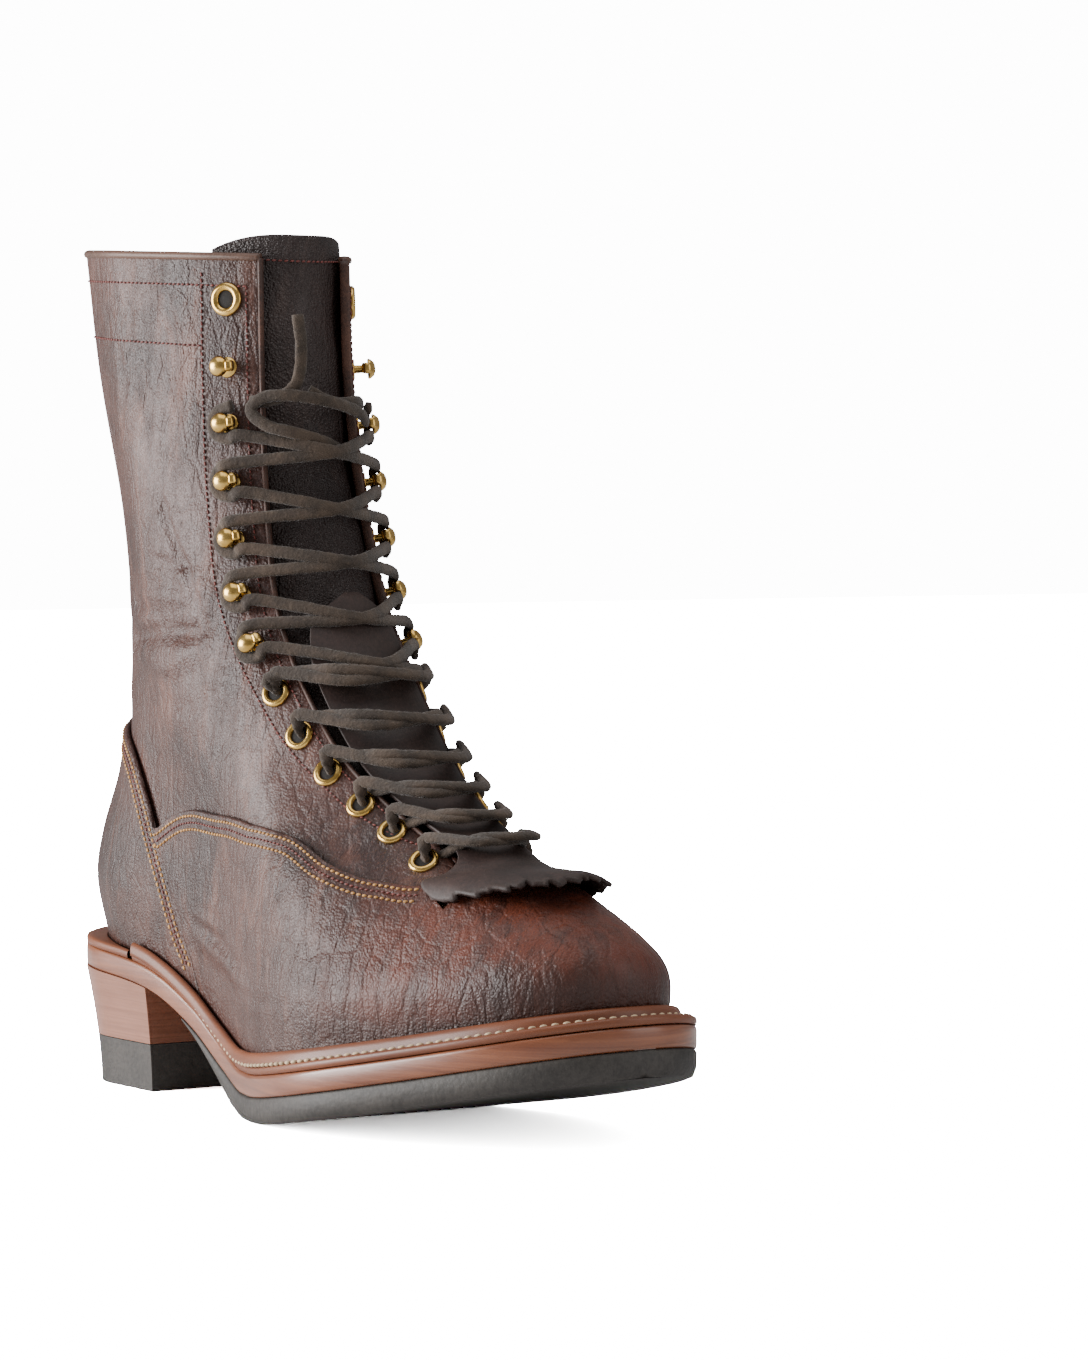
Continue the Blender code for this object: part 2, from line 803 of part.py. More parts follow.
def make_kiltie(group, leather):
    """Flat leather flap on the tongue, with a pinked front edge that lies on the toe."""
    rows = []
    for level, out, half in KILTIE:
        rows.append(across(level, half * BALL_WIDTH, 2 * TOOTH_COUNT, out * KILTIE_WALL))
    front = rows[0]
    for i, (point, behind) in enumerate(zip(front, rows[1])):
        reach = TOOTH_DEPTH if i % 2 else 0.0
        point += (point - behind).normalized() * reach
    item = add_object("kiltie", sheet_mesh("kiltie", rows), group, leather)
    add_solidify(item, KILTIE_WALL, -1.0)
    apply_modifiers(item)
    finish_smooth(item)
    return item


# Eyelets and hooks


@functools.lru_cache(maxsize=None)
def lacing_angle(level, side):
    """Angle of the lacing line, a fixed distance behind the throat's edge."""
    edge = edge_angle(level, side)
    start = ring_point(level, edge, side)
    low, high = edge - 1.5, edge
    for _ in range(25):
        middle = (low + high) / 2
        if (ring_point(level, middle, side) - start).length > EYELET_INSET:
            low = middle
        else:
            high = middle
    return low


@functools.lru_cache(maxsize=None)
def lacing_levels(side):
    """Levels of the top eyelet, the hooks and the lower eyelets, by distance from the rim."""
    drops = [TOP_EYELET_DROP, TOP_EYELET_DROP + TOP_EYELET_PITCH]
    drops += [drops[-1] + HOOK_PITCH * (i + 1) for i in range(HOOK_COUNT - 1)]
    drops += [drops[-1] + HOOK_PITCH + EYELET_PITCH * i for i in range(EYELET_COUNT)]
    found = []
    level, walked = 1.0, 0.0
    step = 0.002
    here = ring_point(level, lacing_angle(level, side), side)
    for drop in drops:
        while walked < drop:
            level = round(level - step, 6)
            there = ring_point(level, lacing_angle(level, side), side)
            walked += (there - here).length
            here = there
        found.append(level)
    return tuple(found)


def lacing_places(side):
    return [(level, lacing_angle(level, side)) for level in lacing_levels(side)]


def lacing_matrix(level, angle, side):
    """Frame of an eyelet or hook: its Z axis points out of the leather."""
    out = surface_normal(level, angle, side)
    down = ring_point(level - 0.01, angle, side) - ring_point(level + 0.01, angle, side)
    across_axis = out.cross(down).normalized()
    down = across_axis.cross(out)
    frame = Matrix((across_axis, down, out)).transposed().to_4x4()
    return Matrix.Translation(ring_point(level, angle, side)) @ frame


def turned_mesh(name, profile, steps, closed):
    """Solid of revolution about Z from its profile of radius and height."""
    mesh = bpy.data.meshes.new(name)
    points = [(radius, 0.0, height) for radius, height in profile]
    edges = [(i, i + 1) for i in range(len(points) - 1)]
    if closed:
        edges.append((len(points) - 1, 0))
    mesh.from_pydata(points, edges, [])
    item = bpy.data.objects.new(name, mesh)
    bpy.context.scene.collection.objects.link(item)
    screw = item.modifiers.new("Turn", "SCREW")
    screw.steps = steps
    screw.render_steps = steps
    screw.use_merge_vertices = True
    screw.merge_threshold = 0.00001
    graph = bpy.context.evaluated_depsgraph_get()
    turned = bpy.data.meshes.new_from_object(item.evaluated_get(graph))
    bpy.data.objects.remove(item, do_unlink=True)
    return clean_mesh(turned)


def eyelet_mesh(name, radius, hole):
    barrel = hole + EYELET_SHEET
    profile = (
        (hole, -EYELET_DEPTH),
        (hole, EYELET_RISE),
        (radius, EYELET_CLEAR),
        (barrel, EYELET_CLEAR),
        (barrel, -EYELET_DEPTH),
    )
    return turned_mesh(name, profile, EYELET_STEPS, True)


def hook_mesh():
    under_cap = HOOK_HEIGHT - HOOK_CAP_THICK
    profile = (
        (0.0, HOOK_HEIGHT),
        (HOOK_CAP_RADIUS, under_cap + HOOK_CAP_THICK / 2),
        (HOOK_CAP_RADIUS, under_cap),
        (HOOK_NECK_RADIUS, under_cap),
        (HOOK_NECK_RADIUS, FIT_GAP + HOOK_BASE_THICK),
        (HOOK_BASE_RADIUS, FIT_GAP + HOOK_BASE_THICK),
        (HOOK_BASE_RADIUS, FIT_GAP),
        (0.0, FIT_GAP),
    )
    return turned_mesh("hook", profile, HOOK_STEPS, False)


def cut_holes(item, holes, cutters):
    """Round holes through the upper for the eyelets."""
    work = bmesh.new()
    for place, radius in holes:
        bmesh.ops.create_cone(
            work, cap_ends=True, segments=EYELET_STEPS, radius1=radius, radius2=radius,
            depth=6 * UPPER_WALL, matrix=place,
        )
    cutter = bpy.data.objects.new("eyelet_holes", mesh_from_bmesh("eyelet_holes", work))
    cutter.hide_render = True
    cutter.display_type = "WIRE"
    cutters.objects.link(cutter)
    hole = item.modifiers.new("Holes", "BOOLEAN")
    hole.operation = "DIFFERENCE"
    hole.solver = "EXACT"
    hole.object = cutter
    apply_modifiers(item)
    finish_smooth(item)


def make_hardware(upper, group, cutters, brass):
    small = eyelet_mesh("eyelet", EYELET_RADIUS, EYELET_HOLE)
    large = eyelet_mesh("top_eyelet", TOP_EYELET_RADIUS, TOP_EYELET_HOLE)
    hook = hook_mesh()
    for mesh in (small, large, hook):
        mesh.materials.append(brass)
    holes = []
    for side, word in ((LATERAL, "outer"), (MEDIAL, "inner")):
        for i, (level, angle) in enumerate(lacing_places(side)):
            place = lacing_matrix(level, angle, side)
            if i == 0:
                name, mesh, hole = f"top_eyelet_{word}", large, TOP_EYELET_HOLE
            elif i <= HOOK_COUNT:
                name, mesh, hole = f"hook_{word}_{i}", hook, 0.0
            else:
                name, mesh, hole = f"eyelet_{word}_{i - HOOK_COUNT}", small, EYELET_HOLE
            item = bpy.data.objects.new(name, mesh)
            item.matrix_world = place
            group.objects.link(item)
            if hole:
                holes.append((place, hole + EYELET_SHEET + FIT_GAP))
    cut_holes(upper, holes, cutters)


# Laces


def lace_height(level, turn, height):
    """Height of a lace over the upper's face; it rides over the kiltie where that is higher."""
    levels, faces, halves = zip(*KILTIE)
    half = abs(turned_point(level, turn, 0.0).y - ring_point(level, math.pi, LATERAL).y)
    covered = smooth_curve(levels, halves, level) * BALL_WIDTH + EYELET_RADIUS + LACE_RADIUS
    if levels[0] < level < levels[-1] and half < covered:
        face = smooth_curve(levels, faces, level) * KILTIE_WALL
        return max(height * LACE_RADIUS, face + LACE_RADIUS + LACE_LIFT)
    return height * LACE_RADIUS


def smooth_route(points, count):
    """Points along a smooth curve through a route's own points."""
    marks = [float(i) for i in range(len(points))]
    columns = list(zip(*points))
    route = []
    for i in range(count):
        at = marks[-1] * i / (count - 1)
        route.append(Vector([smooth_curve(tuple(marks), column, at) for column in columns]))
    return route


def tube(name, points, radius):
    """Round cord along its points, as a closed mesh."""
    curve = bpy.data.curves.new(name, "CURVE")
    curve.dimensions = "3D"
    curve.bevel_depth = radius
    curve.bevel_resolution = 1
    curve.use_fill_caps = True
    line = curve.splines.new("POLY")
    line.points.add(len(points) - 1)
    for spot, point in zip(line.points, points):
        spot.co = (*point, 1.0)
    item = bpy.data.objects.new(name, curve)
    bpy.context.scene.collection.objects.link(item)
    bpy.context.view_layer.update()
    graph = bpy.context.evaluated_depsgraph_get()
    mesh = bpy.data.meshes.new_from_object(item.evaluated_get(graph))
    bpy.data.objects.remove(item, do_unlink=True)
    return clean_mesh(mesh)


def joined_tubes(name, routes, group, cutters, surface):
    """One solid from cords that cross."""
    item = add_object(name, tube(name, routes[0], LACE_RADIUS), group, surface)
    for route in routes[1:]:
        other = bpy.data.objects.new(name + "_leg", tube(name + "_leg", route, LACE_RADIUS))
        other.hide_render = True
        other.display_type = "WIRE"
        cutters.objects.link(other)
        join = item.modifiers.new("Join", "BOOLEAN")
        join.operation = "UNION"
        join.solver = "EXACT"
        join.object = other
    apply_modifiers(item)
    finish_smooth(item)
    return item


def eyelet_leg(index, side):
    """Leg of a lace from a lower eyelet over the throat to the far edge, one step up."""
    level, angle = lacing_places(side)[index]
    far_level = (lacing_levels(-side)[index - 1] + lacing_levels(-side)[index]) / 2
    start = side * (math.pi - angle)
    far_edge = math.pi - edge_angle(far_level, -side)
    end = -side * far_edge * (1 - LACE_LEG_END)
    points = []
    for share, height in EYELET_LEG[side]:
        at = level + (far_level - level) * share
        turn = start + (end - start) * share
        points.append(turned_point(at, turn, lace_height(at, turn, height)))
    return smooth_route([tuple(point) for point in points], 5)


def make_eyelet_crossings(group, cutters, surface):
    for number in range(2, EYELET_COUNT + 1):
        index = HOOK_COUNT + number
        routes = [eyelet_leg(index, LATERAL), eyelet_leg(index, MEDIAL)]
        joined_tubes(f"lace_crossing_{number - 1}", routes, group, cutters, surface)


def hook_wrap(index, side):
    """Points of a lace round a hook's outer side, from below to above."""
    centre = lacing_matrix(*lacing_places(side)[index], side)
    points = []
    for turn in HOOK_WRAP:
        reach = LACE_WRAP_RADIUS * math.cos(turn) * side
        drop = -LACE_WRAP_RADIUS * math.sin(turn)
        points.append(centre @ Vector((reach, drop, LACE_WRAP_HEIGHT)))
    return points


def hook_lace(side):
    """One lace up the hooks: over the throat and round the outer side of each in turn."""
    index = HOOK_COUNT + 1
    level, angle = lacing_places(side)[index]
    turn = side * (math.pi - angle)
    points = [turned_point(level, turn, HOOK_LACE_HEIGHT)]
    middle = lace_height(level, 0.0, EYELET_LEG[side][1][1])
    while index > 2:
        index -= 1
        side = -side
        below = lacing_levels(-side)[index + 1]
        above = lacing_levels(side)[index]
        for share in (0.25, 0.5, 0.75):
            at = below + (above - below) * share
            turn = 4 * (share - 0.5) * side * (math.pi - edge_angle(at, side))
            height = middle if share == 0.5 else HOOK_LACE_HEIGHT
            points.append(turned_point(at, turn, height))
        points += hook_wrap(index, side)
    return points


def make_hook_laces(group, cutters, surface):
    routes = [hook_lace(side) for side in (LATERAL, MEDIAL)]
    joined_tubes("lace_zigzag", routes, group, cutters, surface)


def lace_end(name, side, places, group, surface):
    """Loose end of a lace, from above the highest hook in use."""
    gap = LACE_RADIUS + LACE_LIFT
    points = [tuple(turned_point(level, side * turn, height + gap)) for level, turn, height in places]
    route = smooth_route(points, 9)
    return add_object(name, tube(name, route, LACE_RADIUS), group, surface)


def build():
    clear_scene()
    boot = new_collection("logger_boot")
    cutters = new_collection("cutters")
    leather = material("oiled_leather", (0.075, 0.032, 0.022), 0.45)
    sole_leather = material("sole_leather", (0.30, 0.11, 0.05), 0.45)
    stack = material("stacked_leather", (0.30, 0.13, 0.08), 0.50)
    rubber = material("black_rubber", (0.030, 0.028, 0.027), 0.70)
    lining = material("lining_leather", (0.10, 0.05, 0.03), 0.65)
    brass = material("brass", (0.78, 0.57, 0.22), 0.30, 1.0)
    rawhide = material("rawhide_lace", (0.085, 0.062, 0.045), 0.75)
    upper = make_upper(boot, leather)
    make_overlays(boot, cutters, leather)
    make_tongue(boot, lining)
    make_kiltie(boot, leather)
    make_welts(boot, sole_leather)
    make_midsole(boot, sole_leather)
    make_outsole(boot, rubber)
    make_insole(boot, lining)
    make_heel(boot, stack, rubber)
    make_hardware(upper, boot, cutters, brass)
    make_eyelet_crossings(boot, cutters, rawhide)
    make_hook_laces(boot, cutters, rawhide)
    lace_end("lace_end_outer", LATERAL, OUTER_END, boot, rawhide)
    lace_end("lace_end_inner", MEDIAL, INNER_END, boot, rawhide)


build()
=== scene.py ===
"""Looks of the logger boot: oiled leather, rawhide laces, brass, waxed sole edges."""

import bisect
import functools
import json
import math
import random

import bmesh
import bpy
import numpy as np
from mathutils import Matrix, Vector
from mathutils.bvhtree import BVHTree

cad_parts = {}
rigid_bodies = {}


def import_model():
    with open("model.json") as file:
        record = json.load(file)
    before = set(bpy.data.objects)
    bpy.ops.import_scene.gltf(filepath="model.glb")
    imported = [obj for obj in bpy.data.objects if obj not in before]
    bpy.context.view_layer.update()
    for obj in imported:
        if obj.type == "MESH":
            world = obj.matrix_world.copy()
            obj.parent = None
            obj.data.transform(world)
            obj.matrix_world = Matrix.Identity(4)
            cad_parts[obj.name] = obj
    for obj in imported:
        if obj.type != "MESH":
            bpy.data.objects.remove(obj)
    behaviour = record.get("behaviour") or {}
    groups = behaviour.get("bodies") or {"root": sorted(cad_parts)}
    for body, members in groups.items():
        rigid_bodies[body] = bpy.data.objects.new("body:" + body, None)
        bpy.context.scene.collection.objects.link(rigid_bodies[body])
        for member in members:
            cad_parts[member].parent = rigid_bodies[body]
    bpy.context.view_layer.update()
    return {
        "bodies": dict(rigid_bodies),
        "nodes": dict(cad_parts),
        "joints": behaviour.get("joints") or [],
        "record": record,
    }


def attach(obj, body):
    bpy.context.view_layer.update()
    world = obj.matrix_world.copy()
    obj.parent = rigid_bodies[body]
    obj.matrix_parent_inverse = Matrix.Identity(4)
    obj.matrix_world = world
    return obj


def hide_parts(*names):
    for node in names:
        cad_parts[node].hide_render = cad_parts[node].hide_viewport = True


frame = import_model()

# Camera: a long lens, a little above the instep and looking slightly down. The
# numbers are the image and the lens in pixels, the view's turn from the outer side,
# its dip, and how far away, aside and high it looks in metres.
IMAGE_WIDE, IMAGE_HIGH, LENS = 1088, 1360, 4775.0
VIEW_TURN, VIEW_DIP = math.radians(56.0), math.radians(2.26)
VIEW_DISTANCE, VIEW_ASIDE, VIEW_HEIGHT = 1.705, 0.1245, 0.142
view_right = Vector((math.cos(VIEW_TURN), math.sin(VIEW_TURN), 0.0))
view_back = Vector((
    math.sin(VIEW_TURN) * math.cos(VIEW_DIP),
    -math.cos(VIEW_TURN) * math.cos(VIEW_DIP),
    math.sin(VIEW_DIP),
))
view_up = view_back.cross(view_right)
view_from = view_right * VIEW_ASIDE + Vector((0.0, 0.0, VIEW_HEIGHT)) + view_back * VIEW_DISTANCE
lens = bpy.data.cameras.new("camera")
lens.sensor_fit = "VERTICAL"
lens.angle_y = 2 * math.atan(IMAGE_HIGH / 2 / LENS)
lens.clip_end = 20.0
camera = bpy.data.objects.new("camera", lens)
turn = Matrix((view_right, view_up, view_back)).transposed().to_4x4()
camera.matrix_world = Matrix.Translation(view_from) @ turn
bpy.context.scene.collection.objects.link(camera)
bpy.context.scene.camera = camera

# The last: the wooden foot form that the upper is pulled over. Its rings run from the
# feather line to the collar. Lengths are shares of the sole, rises are shares of the
# height to the collar, and half widths are shares of the ball or the ankle.
LATERAL, MEDIAL = -1, 1
SOLE_LENGTH, HEEL_SETBACK = 0.308, 0.0395
BALL_WIDTH, SEAT_WIDTH, ANKLE_WIDTH, COLLAR_WIDTH = 0.113, 0.077, 0.076, 0.079
COLLAR_HEIGHT, SEAT_HEIGHT, TOE_SPRING = 0.294, 0.0525, 0.0262
WELT_THICK, MIDSOLE_THICK, RUBBER_THICK = 0.0030, 0.0075, 0.0090
UPPER_WALL, UPPER_LIFT = 0.0022, 0.0006
THROAT_LEVEL, TOE_COLUMN_START = 0.42, math.pi * 0.80
SPRING_START, SWING, SWING_START, SWING_FADE = 0.525, 0.070, 0.45, 0.70
SOLE_HEEL_ROUND, SOLE_TOE_ROUND, SOLE_TOE_POWER, UPPER_HEEL_ROUND = 0.125, 0.33, 2.25, 0.20
SHANK = ((0.00, 0.12, 0.25, 0.34, 0.42, 0.49, 0.56, 1.00), (1.00, 0.94, 0.79, 0.50, 0.17, 0.0, 0.0, 0.0))
STATIONS = (0.13, 0.40, 0.66, 0.86)
SOLE_HALF = {LATERAL: (0.50, 0.365, 0.535, 0.485), MEDIAL: (0.50, 0.300, 0.465, 0.470)}
RINGS = (
    # level, back_x, back_rise, front_x, front_rise, level_blend,
    # heel, waist_lateral, waist_medial, ball_lateral, ball_medial, toe, toe_round
    (0.00, 0.025, 0.000, 0.962, 0.000, 0.00, 0.454, 0.48, 0.360, 0.460, 0.390, 0.375, 0.300),
    (0.10, 0.006, 0.084, 0.966, 0.055, 0.10, 0.480, 0.50, 0.410, 0.468, 0.400, 0.380, 0.290),
    (0.20, 0.018, 0.155, 0.944, 0.095, 0.30, 0.467, 0.51, 0.450, 0.445, 0.385, 0.338, 0.300),
    (0.31, 0.052, 0.246, 0.878, 0.150, 0.60, 0.434, 0.50, 0.480, 0.400, 0.360, 0.282, 0.330),
    (0.42, 0.068, 0.333, 0.745, 0.232, 0.85, 0.408, 0.49, 0.490, 0.345, 0.330, 0.290, 0.400),
    (0.47, 0.071, 0.375, 0.645, 0.315, 0.95, 0.394, 0.49, 0.490, 0.325, 0.320, 0.290, 0.380),
    (0.53, 0.077, 0.425, 0.560, 0.410, 1.00, 0.380, 0.49, 0.490, 0.320, 0.320, 0.297, 0.360),
    (0.62, 0.076, 0.507, 0.475, 0.530, 1.00, 0.362, 0.49, 0.490, 0.318, 0.318, 0.288, 0.350),
    (0.73, 0.068, 0.631, 0.430, 0.655, 1.00, 0.375, 0.50, 0.500, 0.310, 0.310, 0.276, 0.350),
    (0.86, 0.042, 0.818, 0.404, 0.805, 1.00, 0.428, 0.505, 0.505, 0.305, 0.305, 0.270, 0.360),
    (1.00, 0.021, 1.000, 0.398, 0.980, 1.00, 0.456, 0.510, 0.510, 0.300, 0.300, 0.270, 0.380),
)
THROAT = (
    (0.42, 0.45, 0.49, 0.55, 0.62, 0.73, 0.86, 1.0),
    (0.172, 0.222, 0.275, 0.295, 0.290, 0.262, 0.235, 0.229),
)


def clipped(value):
    """Held between 0 and 1."""
    return min(max(value, 0.0), 1.0)


def slope_at(knots, values, i):
    """Slope of a table's smooth curve at one of its rows."""
    if i in (0, len(knots) - 1):
        i = max(i, 1)
        return (values[i] - values[i - 1]) / (knots[i] - knots[i - 1])
    back, ahead = knots[i] - knots[i - 1], knots[i + 1] - knots[i]
    lean = back**2 * values[i + 1] + (ahead**2 - back**2) * values[i] - ahead**2 * values[i - 1]
    return lean / (back * ahead * (back + ahead))


def curve(knots, values, at):
    """Smooth curve through the rows of a table."""
    at = min(max(at, knots[0]), knots[-1])
    low = min(bisect.bisect_right(knots, at) - 1, len(knots) - 2)
    span = knots[low + 1] - knots[low]
    t = (at - knots[low]) / span
    return (
        (2 * t**3 - 3 * t**2 + 1) * values[low] + (t**3 - 2 * t**2 + t) * span * slope_at(knots, values, low)
        + (3 * t**2 - 2 * t**3) * values[low + 1] + (t**3 - t**2) * span * slope_at(knots, values, low + 1)
    )


def rounded(distance, length, power=2.0):
    """Share of the full width at a distance from an end that is rounded over a length."""
    return (1 - clipped(1 - distance / length) ** power) ** (1 / power)


def along_sole(x):
    """Share of the sole's length, from the back of the heel."""
    return (x + HEEL_SETBACK) / SOLE_LENGTH


def sole_x(share):
    """The other way round: where a share of the sole's length lies."""
    return -HEEL_SETBACK + share * SOLE_LENGTH


def sole_top(x):
    along = along_sole(x)
    ball = WELT_THICK + MIDSOLE_THICK + RUBBER_THICK
    rise = (SEAT_HEIGHT - ball) * max(0.0, curve(*SHANK, along))
    spring = min(max((along - SPRING_START) / (1 - SPRING_START), 0.0), 1.1)
    return ball + rise + TOE_SPRING * spring**1.25


def swing(along):
    """How far the foot's middle line bends to the inner side."""
    bend = min(max((along - SWING_START) / (1 - SWING_START), 0.0), 1.05)
    return SWING * BALL_WIDTH * bend**1.6


def sole_edge(angle, side):
    """Plan of the sole's edge; angle 0 is the back of the heel and pi the toe."""
    share = (1 - math.cos(angle)) / 2
    seat, *rest = SOLE_HALF[side]
    widths = (seat * SEAT_WIDTH, *(value * BALL_WIDTH for value in rest))
    half = curve((0, *STATIONS, 1), (widths[0], *widths, widths[-1]), share)
    half *= rounded(share, SOLE_HEEL_ROUND) * rounded(1 - share, SOLE_TOE_ROUND, SOLE_TOE_POWER)
    return sole_x(share), swing(share) + side * half


@functools.lru_cache(maxsize=None)
def ring_row(level):
    levels = tuple(row[0] for row in RINGS)
    return tuple(curve(levels, tuple(row[i] for row in RINGS), level) for i in range(1, 13))


@functools.lru_cache(maxsize=None)
def last_point(level, angle, side):
    """Point of the upper's face; angle 0 is the back of the heel and pi the front."""
    back, back_rise, front, front_rise, blend, heel, *rest = ring_row(level)
    waist, waist_in, ball, ball_in, toe, toe_round = rest
    if side == MEDIAL:
        waist, ball = waist_in, ball_in
    x_back, x_front = sole_x(back), sole_x(front)
    share = (1 - math.cos(angle)) / 2
    x = x_back + share * (x_front - x_back)
    girth = ANKLE_WIDTH + (COLLAR_WIDTH - ANKLE_WIDTH) * min(level, 1.0) ** 2
    halves = (heel * girth, waist * girth, ball * BALL_WIDTH, toe * BALL_WIDTH)
    half = curve((0, *STATIONS, 1), (halves[0], *halves, halves[-1]), share)
    toe_power = 2 + 0.25 * max(0.0, 1 - level / THROAT_LEVEL)
    half *= rounded(share, UPPER_HEEL_ROUND) * rounded(1 - share, toe_round, toe_power)
    low_back, low_front = sole_top(x_back), sole_top(x_front)
    z_back = low_back + back_rise * (COLLAR_HEIGHT - low_back)
    z_front = low_front + front_rise * (COLLAR_HEIGHT - low_front)
    bow = sole_top(x) - (low_back + (low_front - low_back) * share)
    z = z_back + (z_front - z_back) * share + (1 - blend) * bow + UPPER_LIFT
    y = swing(along_sole(x)) * max(0.0, 1 - level / SWING_FADE) + side * half
    return Vector((x, y, z))


@functools.lru_cache(maxsize=None)
def last_normal(level, angle, side):
    step = 0.004
    level, angle = min(level, 1 - step), min(max(angle, step), math.pi - 2 * step)
    start = last_point(level, angle, side)
    up = last_point(level + step, angle, side) - start
    along = last_point(level, angle + step, side) - start
    return (along.cross(up) * -side).normalized()


def on_last(level, angle, side, out):
    """Point a distance out of the upper's face."""
    return last_point(level, angle, side) + out * last_normal(level, angle, side)


def on_turn(level, turn, out):
    """The same, by a turn from the front: below 0 outer side, above 0 inner side."""
    return on_last(level, math.pi - abs(turn), LATERAL if turn < 0 else MEDIAL, out)


def halved(low, high, is_low, count=24):
    """The last value that is still low, found by halving."""
    for _ in range(count):
        middle = (low + high) / 2
        low, high = (middle, high) if is_low(middle) else (low, middle)
    return low


@functools.lru_cache(maxsize=None)
def width_angle(level, side, half):
    """Angle at which the last is a half width away from its middle line."""
    middle = last_point(level, math.pi, side).y
    return halved(math.pi / 2, math.pi, lambda a: (last_point(level, a, side).y - middle) * side > half)


@functools.lru_cache(maxsize=None)
def edge_angle(level, side):
    """Angle of the throat's edge, or of its line on down to the toe."""
    half = curve(*THROAT, max(level, THROAT_LEVEL)) * ANKLE_WIDTH
    if level >= THROAT_LEVEL:
        return width_angle(level, side, half)
    below = level / THROAT_LEVEL
    return width_angle(THROAT_LEVEL, side, half) * below + TOE_COLUMN_START * (1 - below)


@functools.lru_cache(maxsize=None)
def inset_angle(level, side, inset):
    """Angle a distance behind the throat's edge."""
    edge = edge_angle(level, side)
    start = last_point(level, edge, side)
    return halved(edge - 1.7, edge, lambda a: (last_point(level, a, side) - start).length > inset)


def charted(columns, rows, size=(1.0, 1.0)):
    """A flat grid from -1 to 1 with a UV map of a size."""
    work = bmesh.new()
    chart = work.loops.layers.uv.new("UVMap")
    bmesh.ops.create_grid(work, x_segments=columns, y_segments=rows, size=1.0)
    for face in work.faces:
        for loop in face.loops:
            u, v = (loop.vert.co.x + 1) / 2, (loop.vert.co.y + 1) / 2
            loop[chart].uv = (u * size[0], v * size[1])
    return work


def sheet(columns, rows, place, size, middle):
    """A grid of leather laid over the last; place(u, v) says where each point goes.
    Its faces are turned away from a middle inside the boot."""
    work = charted(columns, rows, size)
    for vert in work.verts:
        vert.co = place((vert.co.x + 1) / 2, (vert.co.y + 1) / 2)
    work.normal_update()
    facing = 0.0
    for face in work.faces:
        facing += face.normal.dot(face.calc_center_median() - Vector(middle)) * face.calc_area()
    if facing < 0:
        bmesh.ops.reverse_faces(work, faces=work.faces)
    work.normal_update()
    return work


def piece(name, work, finish, thick=0.0, smooth=True):
    """A finished object; a sheet gets its thickness inwards."""
    mesh = bpy.data.meshes.new(name)
    work.normal_update()
    work.to_mesh(mesh)
    work.free()
    made = bpy.data.objects.new(name, mesh)
    bpy.context.scene.collection.objects.link(made)
    mesh.materials.append(finish)
    if smooth:
        mesh.shade_smooth()
    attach(made, "root")
    if thick:
        wall = made.modifiers.new("Wall", "SOLIDIFY")
        wall.thickness = thick
        wall.offset = -1.0
        wall.use_quality_normals = True
    return made

# Leather: oiled hide with a pebbled grain, waxed, and burnished at the toe. A finish is
# one Principled shader whose colour, gloss and bump come from noise in the object's own
# space, and a socket is wrapped so that sums read as sums.
class Flow:
    """A shader's socket; sums with it add their Math nodes."""
    def __init__(self, tree, socket):
        self.tree, self.socket = tree, socket

    def maths(self, kind, *values):
        made = self.tree.nodes.new("ShaderNodeMath")
        made.operation = kind
        for i, value in enumerate(values):
            if isinstance(value, Flow):
                self.tree.links.new(value.socket, made.inputs[i])
            else:
                made.inputs[i].default_value = value
        return Flow(self.tree, made.outputs[0])

    def __add__(self, other):
        return self.maths("ADD", self, other)

    __radd__ = __add__

    def __sub__(self, other):
        return self.maths("SUBTRACT", self, other)

    def __rsub__(self, other):
        return self.maths("SUBTRACT", other, self)

    def __mul__(self, other):
        return self.maths("MULTIPLY", self, other)

    __rmul__ = __mul__

    def above(self, low, high):
        """0 below low, 1 above high, smooth between."""
        made = self.tree.nodes.new("ShaderNodeMapRange")
        made.interpolation_type = "SMOOTHSTEP"
        self.tree.links.new(self.socket, made.inputs[0])
        made.inputs[1].default_value = low
        made.inputs[2].default_value = high
        return Flow(self.tree, made.outputs[0])


